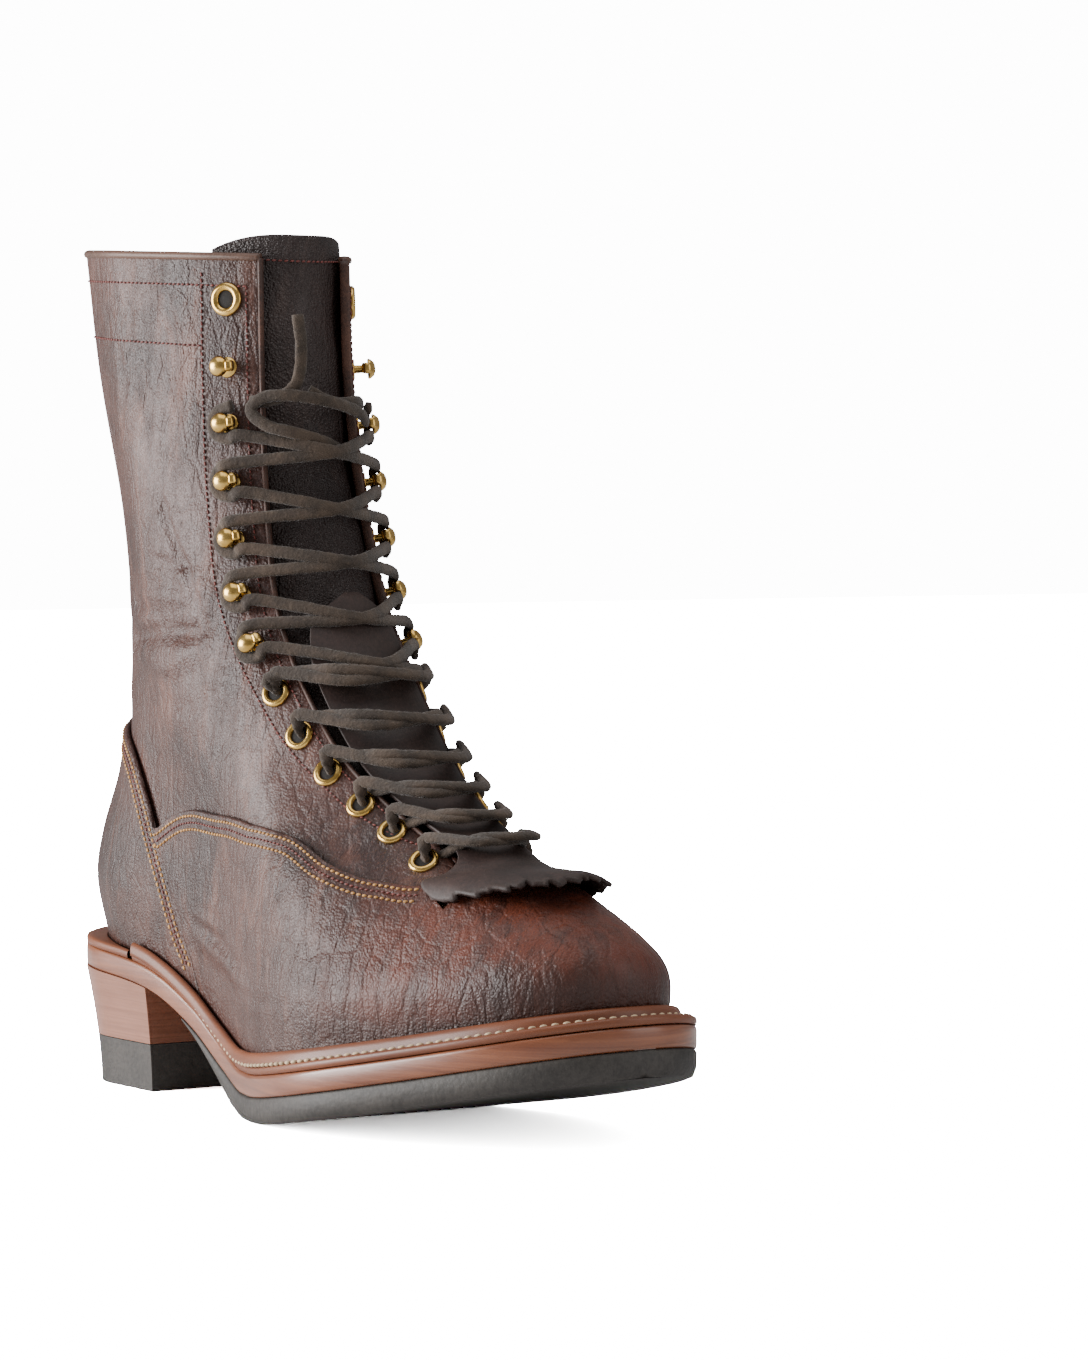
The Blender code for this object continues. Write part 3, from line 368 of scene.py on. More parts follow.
class Finish:
    """One Principled material and the nodes that feed it."""
    def __init__(self, name, roughness=0.5, metallic=0.0, **fixed):
        self.made = bpy.data.materials.new(name)
        self.made.use_nodes = True
        self.tree = self.made.node_tree
        self.shader = self.tree.nodes["Principled BSDF"]
        self.shader.inputs["Roughness"].default_value = roughness
        self.shader.inputs["Metallic"].default_value = metallic
        for key, value in fixed.items():
            self.shader.inputs[key.replace("_", " ")].default_value = value
        self.space = self.node("TexCoord", {}, {}, "Object")

    def node(self, kind, settings, values, output=0):
        made = self.tree.nodes.new("ShaderNode" + kind)
        for key, value in settings.items():
            setattr(made, key, value)
        for key, value in values.items():
            if isinstance(value, Flow):
                self.tree.links.new(value.socket, made.inputs[key])
            else:
                made.inputs[key].default_value = value
        return Flow(self.tree, made.outputs[output])

    def stretched(self, scale, turn=(0.0, 0.0, 0.0)):
        return self.node("Mapping", {}, {"Vector": self.space, "Scale": scale, "Rotation": turn})

    def noise(self, scale, detail=3.0, rough=0.55, space=None, distort=0.0):
        values = {"Vector": space or self.space, "Scale": scale, "Detail": detail}
        values.update({"Roughness": rough, "Distortion": distort})
        return self.node("TexNoise", {}, values)

    def cells(self, scale, feature="F1", space=None):
        return self.node("TexVoronoi", {"feature": feature}, {"Vector": space or self.space, "Scale": scale})

    def axis(self, name):
        return self.node("SeparateXYZ", {}, {0: self.space}, name)

    def mix(self, amount, one, two):
        values = {0: amount}
        for key, value in ((6, one), (7, two)):
            values[key] = value if isinstance(value, Flow) else (*value, 1.0)
        return self.node("Mix", {"data_type": "RGBA"}, values, 2)

    def paint(self, key, flow):
        self.tree.links.new(flow.socket, self.shader.inputs[key])

    def bump(self, height, distance, strength=1.0):
        values = {"Height": height, "Distance": distance, "Strength": strength}
        self.paint("Normal", self.node("Bump", {}, values))
        return self.made


def oiled_leather(name, dark, mid, light, burnish, pebble=0.5):
    """Oiled hide: pebbled grain, fine pulls, warm where it is thin, burnished at the toe, and with painted
    shade low on the toe's front and along the foot of the vamp.
    """
    hide = Finish(name, 0.42, 0.0, Coat_Roughness=0.30, Specular_IOR_Level=0.42)
    cloud = hide.noise(16.0, 5.0, 0.62)
    streak = hide.noise(75.0, 6.0, 0.70, hide.stretched((1.0, 1.0, 0.30)), 0.8)
    grain = hide.cells(1150.0)
    fine = hide.noise(1100.0, 3.0, 0.6)
    pulls = hide.noise(150.0, 5.0, 0.65, hide.stretched((1.0, 1.0, 0.35), (0.2, 0.3, 0.0)), 1.4)
    cracks = hide.cells(150.0, "DISTANCE_TO_EDGE", hide.stretched((1.0, 1.0, 0.45), (0.1, 0.25, 0.0)))
    lumps = hide.noise(45.0, 3.0, 0.5)
    tone = hide.mix(cloud.above(0.36, 0.62), dark, mid)
    tone = hide.mix(streak.above(0.48, 0.74) * 0.70, tone, light)
    tone = hide.mix((1 - cracks.above(0.0, 0.05)) * cloud.above(0.42, 0.60) * 0.45, tone, dark)
    tone = hide.mix(fine.above(0.52, 0.75) * 0.30, tone, light)
    if burnish:
        x = hide.axis("X")
        z = hide.axis("Z")
        toe = x.above(0.150, 0.215) * (1 - z.above(0.078, 0.105))
        lines = hide.noise(120.0, 5.0, 0.7, hide.stretched((1.0, 1.0, 0.10)))
        tone = hide.mix(toe * (lines.above(0.35, 0.65) * 0.75 + 0.15), tone, burnish)
        # Painted shade: darker low on the toe's front and along the foot of the vamp just above the welt.
        low = x.above(0.195, 0.235) * (1 - z.above(0.052, 0.066))
        low = low + x.above(0.10, 0.2) * (1 - z.above(0.036, 0.046))
        tone = hide.mix(low * 0.7, tone, dark)
    hide.paint("Base Color", tone)
    hide.paint("Roughness", 0.34 + cloud * 0.14 + grain.above(0.2, 0.8) * 0.10)
    hide.paint("Coat Weight", cloud.above(0.45, 0.7) * 0.22)
    height = grain * (pebble * 0.55) + fine * 0.22 + pulls * 1.2 + lumps * 0.9
    height = height + cracks.above(0.0, 0.12) * 0.22
    return hide.bump(height, 0.00072, 1.0)


DARK_HIDE, MID_HIDE, LIGHT_HIDE = (0.022, 0.0066, 0.0042), (0.062, 0.0205, 0.0130), (0.150, 0.062, 0.042)
TOE_BURNISH = (0.120, 0.024, 0.0085)
vamp_leather = oiled_leather("vamp_leather", DARK_HIDE, MID_HIDE, LIGHT_HIDE, TOE_BURNISH)
shaft_leather = oiled_leather("shaft_leather", DARK_HIDE, MID_HIDE, LIGHT_HIDE, None)

# Upper: the shaft and quarters, one piece of oiled hide lasted over the form and left
# open at the throat. Its creases are pressed in along lines on the outer side, given in
# pixels of the camera's image, with a depth and a width in millimetres.
UPPER_COLUMNS, UPPER_ROWS, TOE_STEPS = 180, 130, 28


def quarter_point(u, v):
    side = LATERAL if u < 0.5 else MEDIAL
    return last_point(v, edge_angle(v, side) * abs(2 * u - 1), side)


def toe_point(u, v):
    level = v * THROAT_LEVEL
    start, end = edge_angle(level, LATERAL) - math.pi, math.pi - edge_angle(level, MEDIAL)
    return on_turn(level, start + (end - start) * u, 0.0)


def joined(one, other):
    """Add a second sheet to the first."""
    spare = bpy.data.meshes.new("spare")
    other.to_mesh(spare)
    other.free()
    one.from_mesh(spare)
    bpy.data.meshes.remove(spare)
    bmesh.ops.remove_doubles(one, verts=one.verts, dist=0.00002)


body = sheet(UPPER_COLUMNS, UPPER_ROWS, quarter_point, (0.36, 0.27), (0.04, 0.0, 0.16))
joined(body, sheet(TOE_STEPS, int(UPPER_ROWS * THROAT_LEVEL), toe_point, (0.1, 0.1), (0.15, 0.0, 0.0)))
body.normal_update()
leather_tree = BVHTree.FromBMesh(body)


def seen(x, y):
    """Where the camera's ray through a pixel meets the leather."""
    aim = view_right * (x - IMAGE_WIDE / 2) - view_up * (y - IMAGE_HIGH / 2) - view_back * LENS
    aim.normalize()
    spot = leather_tree.ray_cast(view_from, aim)[0]
    return spot or leather_tree.find_nearest(view_from + aim * VIEW_DISTANCE)[0]


def press(work, lines):
    """Press soft troughs (ridges, where the depth is below 0) along lines, and again
    along their mirror images on the inner side."""
    points = np.array([vert.co for vert in work.verts])
    moved = np.zeros(len(points))
    for depth, width, places in lines:
        path = []
        for start, end in zip(places[:-1], places[1:]):
            for share in (0, 1 / 6, 2 / 6, 3 / 6, 4 / 6, 5 / 6):
                path.append(seen(*(a + (b - a) * share for a, b in zip(start, end))))
        path.append(seen(*places[-1]))
        path = np.array(path)
        fade = np.sin(np.linspace(0.15, math.pi - 0.15, len(path))) ** 0.5
        for copy in (path, path * np.array((1.0, -1.0, 1.0))):
            away = np.full(len(points), 1.0)
            soft = np.zeros(len(points))
            for spot, weight in zip(copy, fade):
                here = np.linalg.norm(points - spot, axis=1)
                closer = here < away
                away[closer] = here[closer]
                soft[closer] = weight
            near = away / (width / 1000)
            moved -= soft * depth / 1000 * (np.exp(-near**2) - 0.35 * np.exp(-((near - 1.6) ** 2) * 1.5))
    for vert, shift in zip(work.verts, moved):
        vert.co += vert.normal * float(shift)
    work.normal_update()


SHAFT_CREASES = (
    (1.53, 3.0, ((128, 596), (150, 610), (178, 612), (200, 606))),
    (2.21, 3.5, ((132, 640), (160, 628), (190, 632), (215, 620))),
    (1.19, 2.5, ((150, 560), (170, 566), (200, 560))),
    (1.02, 2.2, ((157, 487), (170, 530), (186, 570), (201, 616))),
    (0.85, 2.0, ((130, 500), (160, 506), (190, 500), (205, 503))),
    (0.77, 2.0, ((118, 345), (124, 385), (120, 430))),
    (0.68, 1.8, ((136, 340), (128, 372), (121, 400))),
    (0.68, 2.0, ((112, 430), (135, 440), (170, 436))),
    (0.85, 2.2, ((140, 585), (165, 580), (182, 590))),
    (-1.53, 5.0, ((135, 655), (165, 665), (200, 652))),
    (0.85, 3.0, ((150, 700), (190, 706), (230, 690))),
)
press(body, SHAFT_CREASES)
upper = piece("boot_upper", body, shaft_leather, UPPER_WALL)
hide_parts("upper")

# Vamp: the lower front, of the same hide, pulled over the toe and lapped over the
# quarters with a curved skived edge. Its ends run under the counter.
VAMP_CURVE = (
    (0.252, 0.310, 0.372, 0.462, 0.560, 0.630, 0.699, 0.760, 0.795, 0.800),
    (0.159, 0.203, 0.235, 0.266, 0.253, 0.214, 0.187, 0.182, 0.215, 0.290),
)
COUNTER_CURVE = (
    (-0.050, 0.050, 0.120, 0.184, 0.247, 0.290, 0.317, 0.337, 0.355),
    (0.280, 0.272, 0.255, 0.225, 0.160, 0.107, 0.066, 0.045, 0.000),
)
OVERLAY_OUT, OVERLAY_WALL, LIP_DROP, LIP_SHARE = 0.0024, 0.0019, 0.0011, 0.035
COUNTER_FRONT, COUNTER_LAP = 0.357, 0.012
VAMP_CREASES = (
    (1.36, 2.6, ((184, 913), (205, 925), (230, 945), (246, 968))),
    (1.19, 2.2, ((200, 905), (228, 918), (262, 921), (298, 913))),
    (1.02, 2.0, ((215, 960), (240, 948), (268, 950))),
    (0.85, 2.4, ((240, 985), (262, 1000), (290, 1003))),
    (0.77, 2.4, ((300, 985), (340, 992), (380, 984))),
    (-1.36, 4.0, ((205, 938), (232, 960), (250, 985))),
    (0.85, 3.0, ((270, 940), (310, 955), (345, 950))),
)


@functools.lru_cache(maxsize=None)
def curve_level(angle, side, is_counter):
    """Level where a column of the last crosses a side-view curve."""
    knots, heights = COUNTER_CURVE if is_counter else VAMP_CURVE

    def under(level):
        spot = last_point(level, angle, side)
        return spot.z < sole_top(spot.x) + curve(knots, heights, along_sole(spot.x)) * COLLAR_HEIGHT

    return halved(0.0, 0.8, under, 16) if under(0.0) else 0.0


def flank(turn):
    """Angle and side of a turn from the front."""
    return math.pi - abs(turn), LATERAL if turn < 0 else MEDIAL


def vamp_rows(turn):
    """Levels of the vamp's lower and upper edge at a turn."""
    angle, side = flank(turn)
    low = 0.0
    if along_sole(last_point(0.0, angle, side).x) < COUNTER_FRONT:
        low = max(0.0, curve_level(angle, side, True) - COUNTER_LAP)
    return low, max(low, curve_level(angle, side, False))


VAMP_TURN = halved(1.2, 2.6, lambda t: vamp_rows(t)[1] > vamp_rows(t)[0] + 0.0005, 20)


def lipped(v):
    """The lap's edge is rounded down to the leather below it."""
    return LIP_DROP * max(0.0, 1 - (1 - v) / LIP_SHARE) ** 2.2


def vamp_point(u, v):
    turn = VAMP_TURN * math.sin(math.pi * (u - 0.5)) * 0.35 + VAMP_TURN * (2 * u - 1) * 0.65
    low, high = vamp_rows(turn)
    rise = 1 - (1 - v) ** 1.35
    return on_turn(low + (high - low) * rise, turn, OVERLAY_OUT - lipped(v))


vamp_work = sheet(220, 70, vamp_point, (0.42, 0.1), (0.10, 0.0, 0.05))
press(vamp_work, VAMP_CREASES)
vamp_tree = BVHTree.FromBMesh(vamp_work)
vamp = piece("boot_vamp", vamp_work, vamp_leather, OVERLAY_WALL)
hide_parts("vamp")

# Counter: the heel's outer cap, cut from the same hide and sewn on over the vamp's ends
# and the back of the shaft.
COUNTER_REACH = halved(0.3, 2.2, lambda angle: curve_level(angle, LATERAL, True) > 0.001, 20)
COUNTER_OUT = OVERLAY_OUT + 0.0002


def counter_point(u, v):
    turn = (2 * u - 1) * COUNTER_REACH
    angle, side = abs(turn), MEDIAL if turn > 0 else LATERAL
    return on_last(curve_level(angle, side, True) * v, angle, side, COUNTER_OUT - lipped(v))


counter_work = sheet(120, 40, counter_point, (0.2, 0.08), (0.0, 0.0, 0.08))
counter_tree = BVHTree.FromBMesh(counter_work)
counter = piece("boot_counter", counter_work, vamp_leather, OVERLAY_WALL)
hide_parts("counter")

# Edges: the facings' cut edge shows the hide's red-brown layers, and the collar has a
# thin rolled binding. A strap is a flat band swept along a line.
def laid(level, angle, side, out):
    """A place out of the upper's face, and the way out of the leather there."""
    return on_last(level, angle, side, out), last_normal(level, angle, side)


def strap(line, width, thick, steps=12, power=2.6, rough=0.0, seed=3):
    """A band of flattened section along a line of (point, way out of its broad face)."""
    dice = random.Random(seed)
    frames = []
    for i, (spot, out) in enumerate(line):
        run = (line[min(i + 1, len(line) - 1)][0] - line[max(i - 1, 0)][0]).normalized()
        across = run.cross(out).normalized()
        frames.append((spot, across, across.cross(run).normalized()))
    rows = len(line) - 1
    work = charted(rows, steps)
    for vert in work.verts:
        angle = (vert.co.y + 1) * math.pi
        spot, across, out = frames[round((vert.co.x + 1) / 2 * rows)]
        wide = math.copysign(abs(math.cos(angle)) ** (2 / power), math.cos(angle)) * width / 2
        high = math.copysign(abs(math.sin(angle)) ** (2 / power), math.sin(angle)) * thick / 2
        shake = 1 + dice.uniform(-rough, rough)
        vert.co = spot + across * wide * shake + out * high * shake
    bmesh.ops.remove_doubles(work, verts=work.verts, dist=rough * width / 2 + 0.000001)
    bmesh.ops.holes_fill(work, edges=[edge for edge in work.edges if edge.is_boundary], sides=0)
    bmesh.ops.recalc_face_normals(work, faces=work.faces)
    return work


def plain_finish(name, dark, light, roughness, scale=60.0, bump=0.5, fine=900.0, depth=0.0002):
    """Two tones in soft patches with a fine grit."""
    made = Finish(name, roughness)
    patch = made.noise(scale, 4.0, 0.6)
    grit = made.noise(fine, 3.0, 0.6)
    made.paint("Base Color", made.mix((patch * 0.6 + grit * 0.4).above(0.35, 0.65), dark, light))
    made.paint("Roughness", roughness - 0.06 + patch * 0.12)
    return made.bump(grit * bump + patch * 0.3, depth)


cut_edge = plain_finish("cut_edge", (0.0342, 0.0133, 0.00855), (0.095, 0.038, 0.0228), 0.6, 90.0)
binding = plain_finish("binding", (0.0665, 0.0304, 0.019), (0.1235, 0.0608, 0.0399), 0.5, 40.0)
EDGE_STEPS, RIM_STEPS, RIM_LEVEL = 120, 80, 0.998
for side, word in ((LATERAL, "outer"), (MEDIAL, "inner")):
    edge_line, rim_line = [], []
    for i in range(EDGE_STEPS + 1):
        level = THROAT_LEVEL + 0.005 + (1 - THROAT_LEVEL - 0.008) * i / EDGE_STEPS
        edge_line.append(laid(level, edge_angle(level, side), side, -UPPER_WALL / 2 + 0.0002))
    for i in range(RIM_STEPS + 1):
        angle = edge_angle(1.0, side) * (1 - i / RIM_STEPS)
        rim_line.append(laid(RIM_LEVEL, angle, side, -UPPER_WALL / 2))
    piece(f"facing_edge_{word}", strap(edge_line, 0.0018, 0.0034, steps=10), cut_edge)
    piece(f"collar_rim_{word}", strap(rim_line, 0.0030, 0.0040, power=2.2), binding)

# Stitching: waxed linen, burgundy on the shaft and yellow along the laps. Each stitch
# is a small ellipsoid half sunk in the leather, about 2 mm from the next.
burgundy = plain_finish("burgundy_thread", (0.095, 0.017, 0.013), (0.20, 0.045, 0.036), 0.55, 400.0)
yellow = plain_finish("yellow_thread", (0.323, 0.152, 0.0418), (0.608, 0.323, 0.1045), 0.55, 400.0)
cream = plain_finish("welt_thread", (0.361, 0.247, 0.1425), (0.646, 0.494, 0.323), 0.6, 400.0)
STITCH_LEAN, STITCH_OUT = 0.16, 0.0002


def stitched(name, rows, thread, pitch=0.0021, long=0.0017, thick=0.00075):
    """Rows are lists of (point, normal) close together along each seam."""
    bead = bmesh.new()
    bmesh.ops.create_uvsphere(bead, u_segments=6, v_segments=4, radius=1.0)
    bead.verts.index_update()
    shape = np.array([vert.co for vert in bead.verts]) * (long / 2, thick / 2, thick / 2)
    faces = [[vert.index for vert in face.verts] for face in bead.faces]
    bead.free()
    verts, polygons = [], []
    for row in rows:
        walked, due = 0.0, pitch / 2
        for (start, out), (end, _) in zip(row[:-1], row[1:]):
            run = end - start
            length = run.length
            if length < 1e-7:
                continue
            while walked + length > due:
                spot = start + run * ((due - walked) / length)
                ahead = run.normalized()
                across = out.cross(ahead).normalized()
                ahead = (ahead + STITCH_LEAN * across).normalized()
                across = out.cross(ahead).normalized()
                turn = np.array((ahead, across, ahead.cross(across)))
                polygons += [[len(verts) + i for i in face] for face in faces]
                verts += [tuple(row_at) for row_at in shape @ turn + np.array(spot)]
                due += pitch
            walked += length
    spare = bpy.data.meshes.new("spare")
    spare.from_pydata(verts, [], polygons)
    work = bmesh.new()
    work.from_mesh(spare)
    bpy.data.meshes.remove(spare)
    return piece(name, work, thread)


def round_seam(level, side, inset, count=160):
    """A seam round the shaft, from its back to a distance behind the throat's edge."""
    end = inset_angle(level, side, inset)
    return [laid(level, end * i / count, side, STITCH_OUT) for i in range(count + 1)]


def edge_seam(side, inset, low, high, count=140):
    """A seam up the shaft, a distance behind the throat's edge."""
    levels = [low + (high - low) * i / count for i in range(count + 1)]
    return [laid(level, inset_angle(level, side, inset), side, STITCH_OUT) for level in levels]


def beside(line, inset, tree):
    """Seam a distance below a lap's edge, laid on the lap's own surface."""
    row = []
    for i in range(2, len(line) - 2):
        run = (line[i + 2][0] - line[i - 2][0]).normalized()
        inward = run.cross(line[i][1]).normalized()
        if inward.z > 0:
            inward = -inward
        spot, out, _, _ = tree.find_nearest(line[i][0] + inward * inset)
        if out.dot(line[i][1]) < 0:
            out = -out
        row.append((spot + out * 0.00015, out))
    return row


COLLAR_SEAM, CUFF_SEAM, HEM_LEVEL = 0.968, 0.905, 0.445
EDGE_INSET, FACING_INSET, LIP_END = 0.005, 0.0225, 0.757
shaft_rows, lap_yellow, lap_middle, counter_rows, counter_middle = [], [], [], [], []
for side in (LATERAL, MEDIAL):
    shaft_rows += [round_seam(COLLAR_SEAM, side, EDGE_INSET), round_seam(CUFF_SEAM, side, 0.022)]
    shaft_rows.append(edge_seam(side, EDGE_INSET, 0.44, COLLAR_SEAM))
    shaft_rows.append(edge_seam(side, FACING_INSET, HEM_LEVEL, 0.985))
    hem, lip, front = [], [], []
    start, end = inset_angle(HEM_LEVEL, side, FACING_INSET), inset_angle(0.43, side, 0.006)
    for i in range(41):
        level = HEM_LEVEL - 0.022 * math.sin(i / 40 * math.pi / 2)
        hem.append(laid(level, start + (end - start) * i / 40, side, STITCH_OUT))
    shaft_rows.append(hem)
    for i in range(261):
        turn = side * (VAMP_TURN - 0.01 - (VAMP_TURN - 0.40) * i / 260)
        place = laid(vamp_rows(turn)[1], flank(turn)[0], side, OVERLAY_OUT)
        if along_sole(place[0].x) > LIP_END:
            break
        lip.append(place)
    for inset, rows in ((0.0021, lap_yellow), (0.0044, lap_middle), (0.0067, lap_yellow)):
        rows.append(beside(lip, inset, vamp_tree))
    for i in range(201):
        angle = COUNTER_REACH * (i / 200) ** 0.7
        high = curve_level(angle, side, True)
        if high < 0.02:
            break
        front.append(laid(high, angle, side, OVERLAY_OUT))
    for inset, rows in ((0.0022, counter_rows), (0.0045, counter_middle), (0.0068, counter_rows)):
        rows.append(beside(front, inset, counter_tree))
stitched("shaft_stitches", shaft_rows, burgundy)
stitched("lap_stitches", lap_yellow, yellow, 0.0023, 0.0019, 0.0010)
stitched("lap_middle_stitches", lap_middle, burgundy)
stitched("counter_stitches", counter_rows, yellow, 0.0023, 0.0019, 0.0010)
stitched("counter_middle_stitches", counter_middle, burgundy)

# Tongue: one layer of pebbled hide, sewn in behind the throat. It bulges a little, is
# rounded at the top and stands above the collar.
# The tongue's colours are darker than the upper's hide: painted shade of the recess behind the throat.
tongue_leather = oiled_leather(
    "tongue_leather", (0.014, 0.007, 0.006), (0.028, 0.014, 0.012), (0.06, 0.036, 0.03), None, 1.4,
)
TONGUE_START, TONGUE_TOP, TONGUE_LAP, TONGUE_WALL, TONGUE_COLLAR = 0.37, 0.008, 0.011, 0.0018, 0.96


def across_front(u, level, outer, inner):
    """Turn of a column of a strip over the throat, from its half widths."""
    side, half = (LATERAL, outer) if u < 0.5 else (MEDIAL, inner)
    return (2 * u - 1) * (math.pi - width_angle(round(level, 4), side, half))


def tongue_point(u, v):
    level = TONGUE_START + (1 - TONGUE_START) * min(v / TONGUE_COLLAR, 1.0)
    throat = curve(*THROAT, max(level, THROAT_LEVEL)) * ANKLE_WIDTH
    half = throat + TONGUE_LAP * min(1.0, level / 0.5)
    turn = across_front(u, level, half, half)
    bulge = math.sin(math.pi * u)
    fold = 0.0016 * math.sin(8.0 * math.pi * v + 2.0 * u) * bulge + 0.0012 * bulge
    sunk = 0.0050 * clipped((level - 0.62) / 0.25) * (0.35 + 0.65 * u) * math.sin(math.pi * clipped(u * 1.1))
    out = -UPPER_WALL - 0.0012 - sunk + min(fold, 0.0009) * min(1.0, (1 - v) * 8)
    spot = on_turn(level, turn, out)
    if v > TONGUE_COLLAR:
        rise = on_turn(1.0, turn, -0.003) - on_turn(0.985, turn, -0.003)
        shape = 0.25 + 0.75 * (1 - abs(2 * u - 1) ** 4)
        spot += rise.normalized() * TONGUE_TOP * shape * (v - TONGUE_COLLAR) / 0.04
    return spot


tongue_work = sheet(36, 130, tongue_point, (0.08, 0.26), (0.0, 0.0, 0.10))
tongue = piece("boot_tongue", tongue_work, tongue_leather, TONGUE_WALL)
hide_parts("tongue")
top_out = last_normal(0.99, math.pi - 0.1, LATERAL)
tongue_row = [(tongue_point(0.12 + 0.76 * i / 60, 0.955) + STITCH_OUT * top_out, top_out) for i in range(61)]
stitched("tongue_stitches", [tongue_row], burgundy)

# Kiltie: a flat false tongue under the lowest laces. Its front edge is torn ragged and
# stands up off the toe, so that a dark hollow shows beneath it.
KILTIE_LEVELS = (0.302, 0.325, 0.352, 0.385, 0.420, 0.445, 0.480, 0.540, 0.590, 0.620, 0.642)
KILTIE_OUT = (0.0122, 0.0108, 0.0085, 0.0058, 0.0047, 0.0024, 0.0010, 0.0010, 0.0018, 0.0030, 0.0040)
KILTIE_HALF = (0.205, 0.202, 0.182, 0.142, 0.104, 0.115, 0.150, 0.165, 0.150, 0.110, 0.020)
ragged = random.Random(11)
TEETH = [ragged.uniform(-1, 1) for _ in range(40)]


def kiltie_point(u, v):
    level = KILTIE_LEVELS[0] + 0.34 * v
    half = curve(KILTIE_LEVELS, KILTIE_HALF, level) * BALL_WIDTH
    out = curve(KILTIE_LEVELS, KILTIE_OUT, level)
    turn = across_front(u, level, half + 0.0045 * clipped((0.40 - level) / 0.05), half)
    flat = 1 - 0.74 * clipped((0.43 - level) / 0.06) * abs(2 * u - 1) ** 2.2
    tooth = TEETH[min(39, int(u * 39.9))] * 0.75 + math.sin(u * 52) * 0.5
    ahead = on_turn(level - 0.01, turn, out) - on_turn(level + 0.01, turn, out)
    return on_turn(level, turn, out * flat) + ahead.normalized() * max(0.0, 1 - v / 0.10) * 0.0026 * tooth


kiltie_leather = plain_finish(
    "kiltie_leather", (0.016, 0.0068, 0.0050), (0.038, 0.0180, 0.0135), 0.62, 50.0, 0.7, 700.0,
)
kiltie_work = sheet(110, 40, kiltie_point, (0.05, 0.08), (0.08, 0.0, 0.03))
kiltie = piece("boot_kiltie", kiltie_work, kiltie_leather, 0.0015)
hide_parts("kiltie")

# Hardware: solid brass. The eyelets have a rolled lip. Each hook is a domed cap on a
# post, riveted through the facing over a washer, with a curl that holds the lace.
LACING_INSET, TOP_DROP, TOP_PITCH, HOOK_PITCH, EYELET_PITCH = 0.0125, 0.0150, 0.0232, 0.01979, 0.0189
LACING_DROPS = [TOP_DROP, TOP_DROP + TOP_PITCH]
LACING_DROPS += [LACING_DROPS[-1] + HOOK_PITCH * (i + 1) for i in range(5)]
LACING_DROPS += [LACING_DROPS[-1] + HOOK_PITCH + EYELET_PITCH * i for i in range(6)]
HOOK_WASHER = ((0.0, 0.0005), (0.0034, 0.0005), (0.0036, 0.0), (0.0036, -0.0002))
HOOK_POST = ((0.0015, 0.0), (0.0014, 0.0030), (0.0018, 0.0050))
HOOK_CAP = (
    (0.0, 0.0078), (0.0012, 0.0077), (0.0024, 0.0072), (0.0033, 0.0062),
    (0.0036, 0.0054), (0.0033, 0.0050), (0.0, 0.0049),
)
HOOK_CURL = (
    # forward, up, lean of the face
    (0.0022, 0.0064, 0.1), (0.0034, 0.0062, 0.4), (0.0042, 0.0052, 0.9),
    (0.0041, 0.0040, 1.1), (0.0032, 0.0033, 1.3),
)
TOP_RING, RING = (0.0044, 0.0015), (0.0040, 0.00125)
# Section of the flat dark disc in each eyelet, a painted shade of the hole.
HOLE_SHADE_DISC = ((0.0, 0.0004), (0.0030, 0.0004), (0.0034, 0.0002))


@functools.lru_cache(maxsize=None)
def lacing(side):
    """Frames of the top eyelet, the hooks and the eyelets; X to the front, Y down, Z out."""
    found, level, walked = [], 1.0, 0.0
    here = last_point(level, inset_angle(level, side, LACING_INSET), side)
    for drop in LACING_DROPS:
        while walked < drop:
            level = round(level - 0.002, 6)
            there = last_point(level, inset_angle(level, side, LACING_INSET), side)
            walked += (there - here).length
            here = there
        angle = inset_angle(level, side, LACING_INSET)
        out = last_normal(level, angle, side)
        down = last_point(level - 0.01, angle, side) - last_point(level + 0.01, angle, side)
        across = out.cross(down).normalized()
        frame = Matrix((across * -side, across.cross(out), out)).transposed().to_4x4()
        found.append((level, angle, Matrix.Translation(here) @ frame))
    return found


def turned(work, profile, frame, steps=28):
    """Turn a profile of (radius, height) round the frame's Z axis."""
    verts = [work.verts.new((radius, 0.0, height)) for radius, height in profile]
    edges = [work.edges.new(pair) for pair in zip(verts[:-1], verts[1:])]
    bmesh.ops.spin(
        work, geom=verts + edges, cent=(0, 0, 0), axis=(0, 0, 1), angle=2 * math.pi, steps=steps,
        use_merge=True,
    )
    new = set(verts)
    for face in work.faces:
        if not face.tag:
            new.update(face.verts)
            face.tag = True
    bmesh.ops.remove_doubles(work, verts=[vert for vert in new if vert.is_valid], dist=0.000003)
    bmesh.ops.transform(work, matrix=frame, verts=[vert for vert in new if vert.is_valid])


def ring_profile(middle, thick):
    """The rolled lip's section, open underneath."""
    angles = [math.pi * (1.15 - 1.3 * i / 10) for i in range(11)]
    return [(middle + thick * math.cos(a), 0.0003 + thick * 0.85 * math.sin(a)) for a in angles]


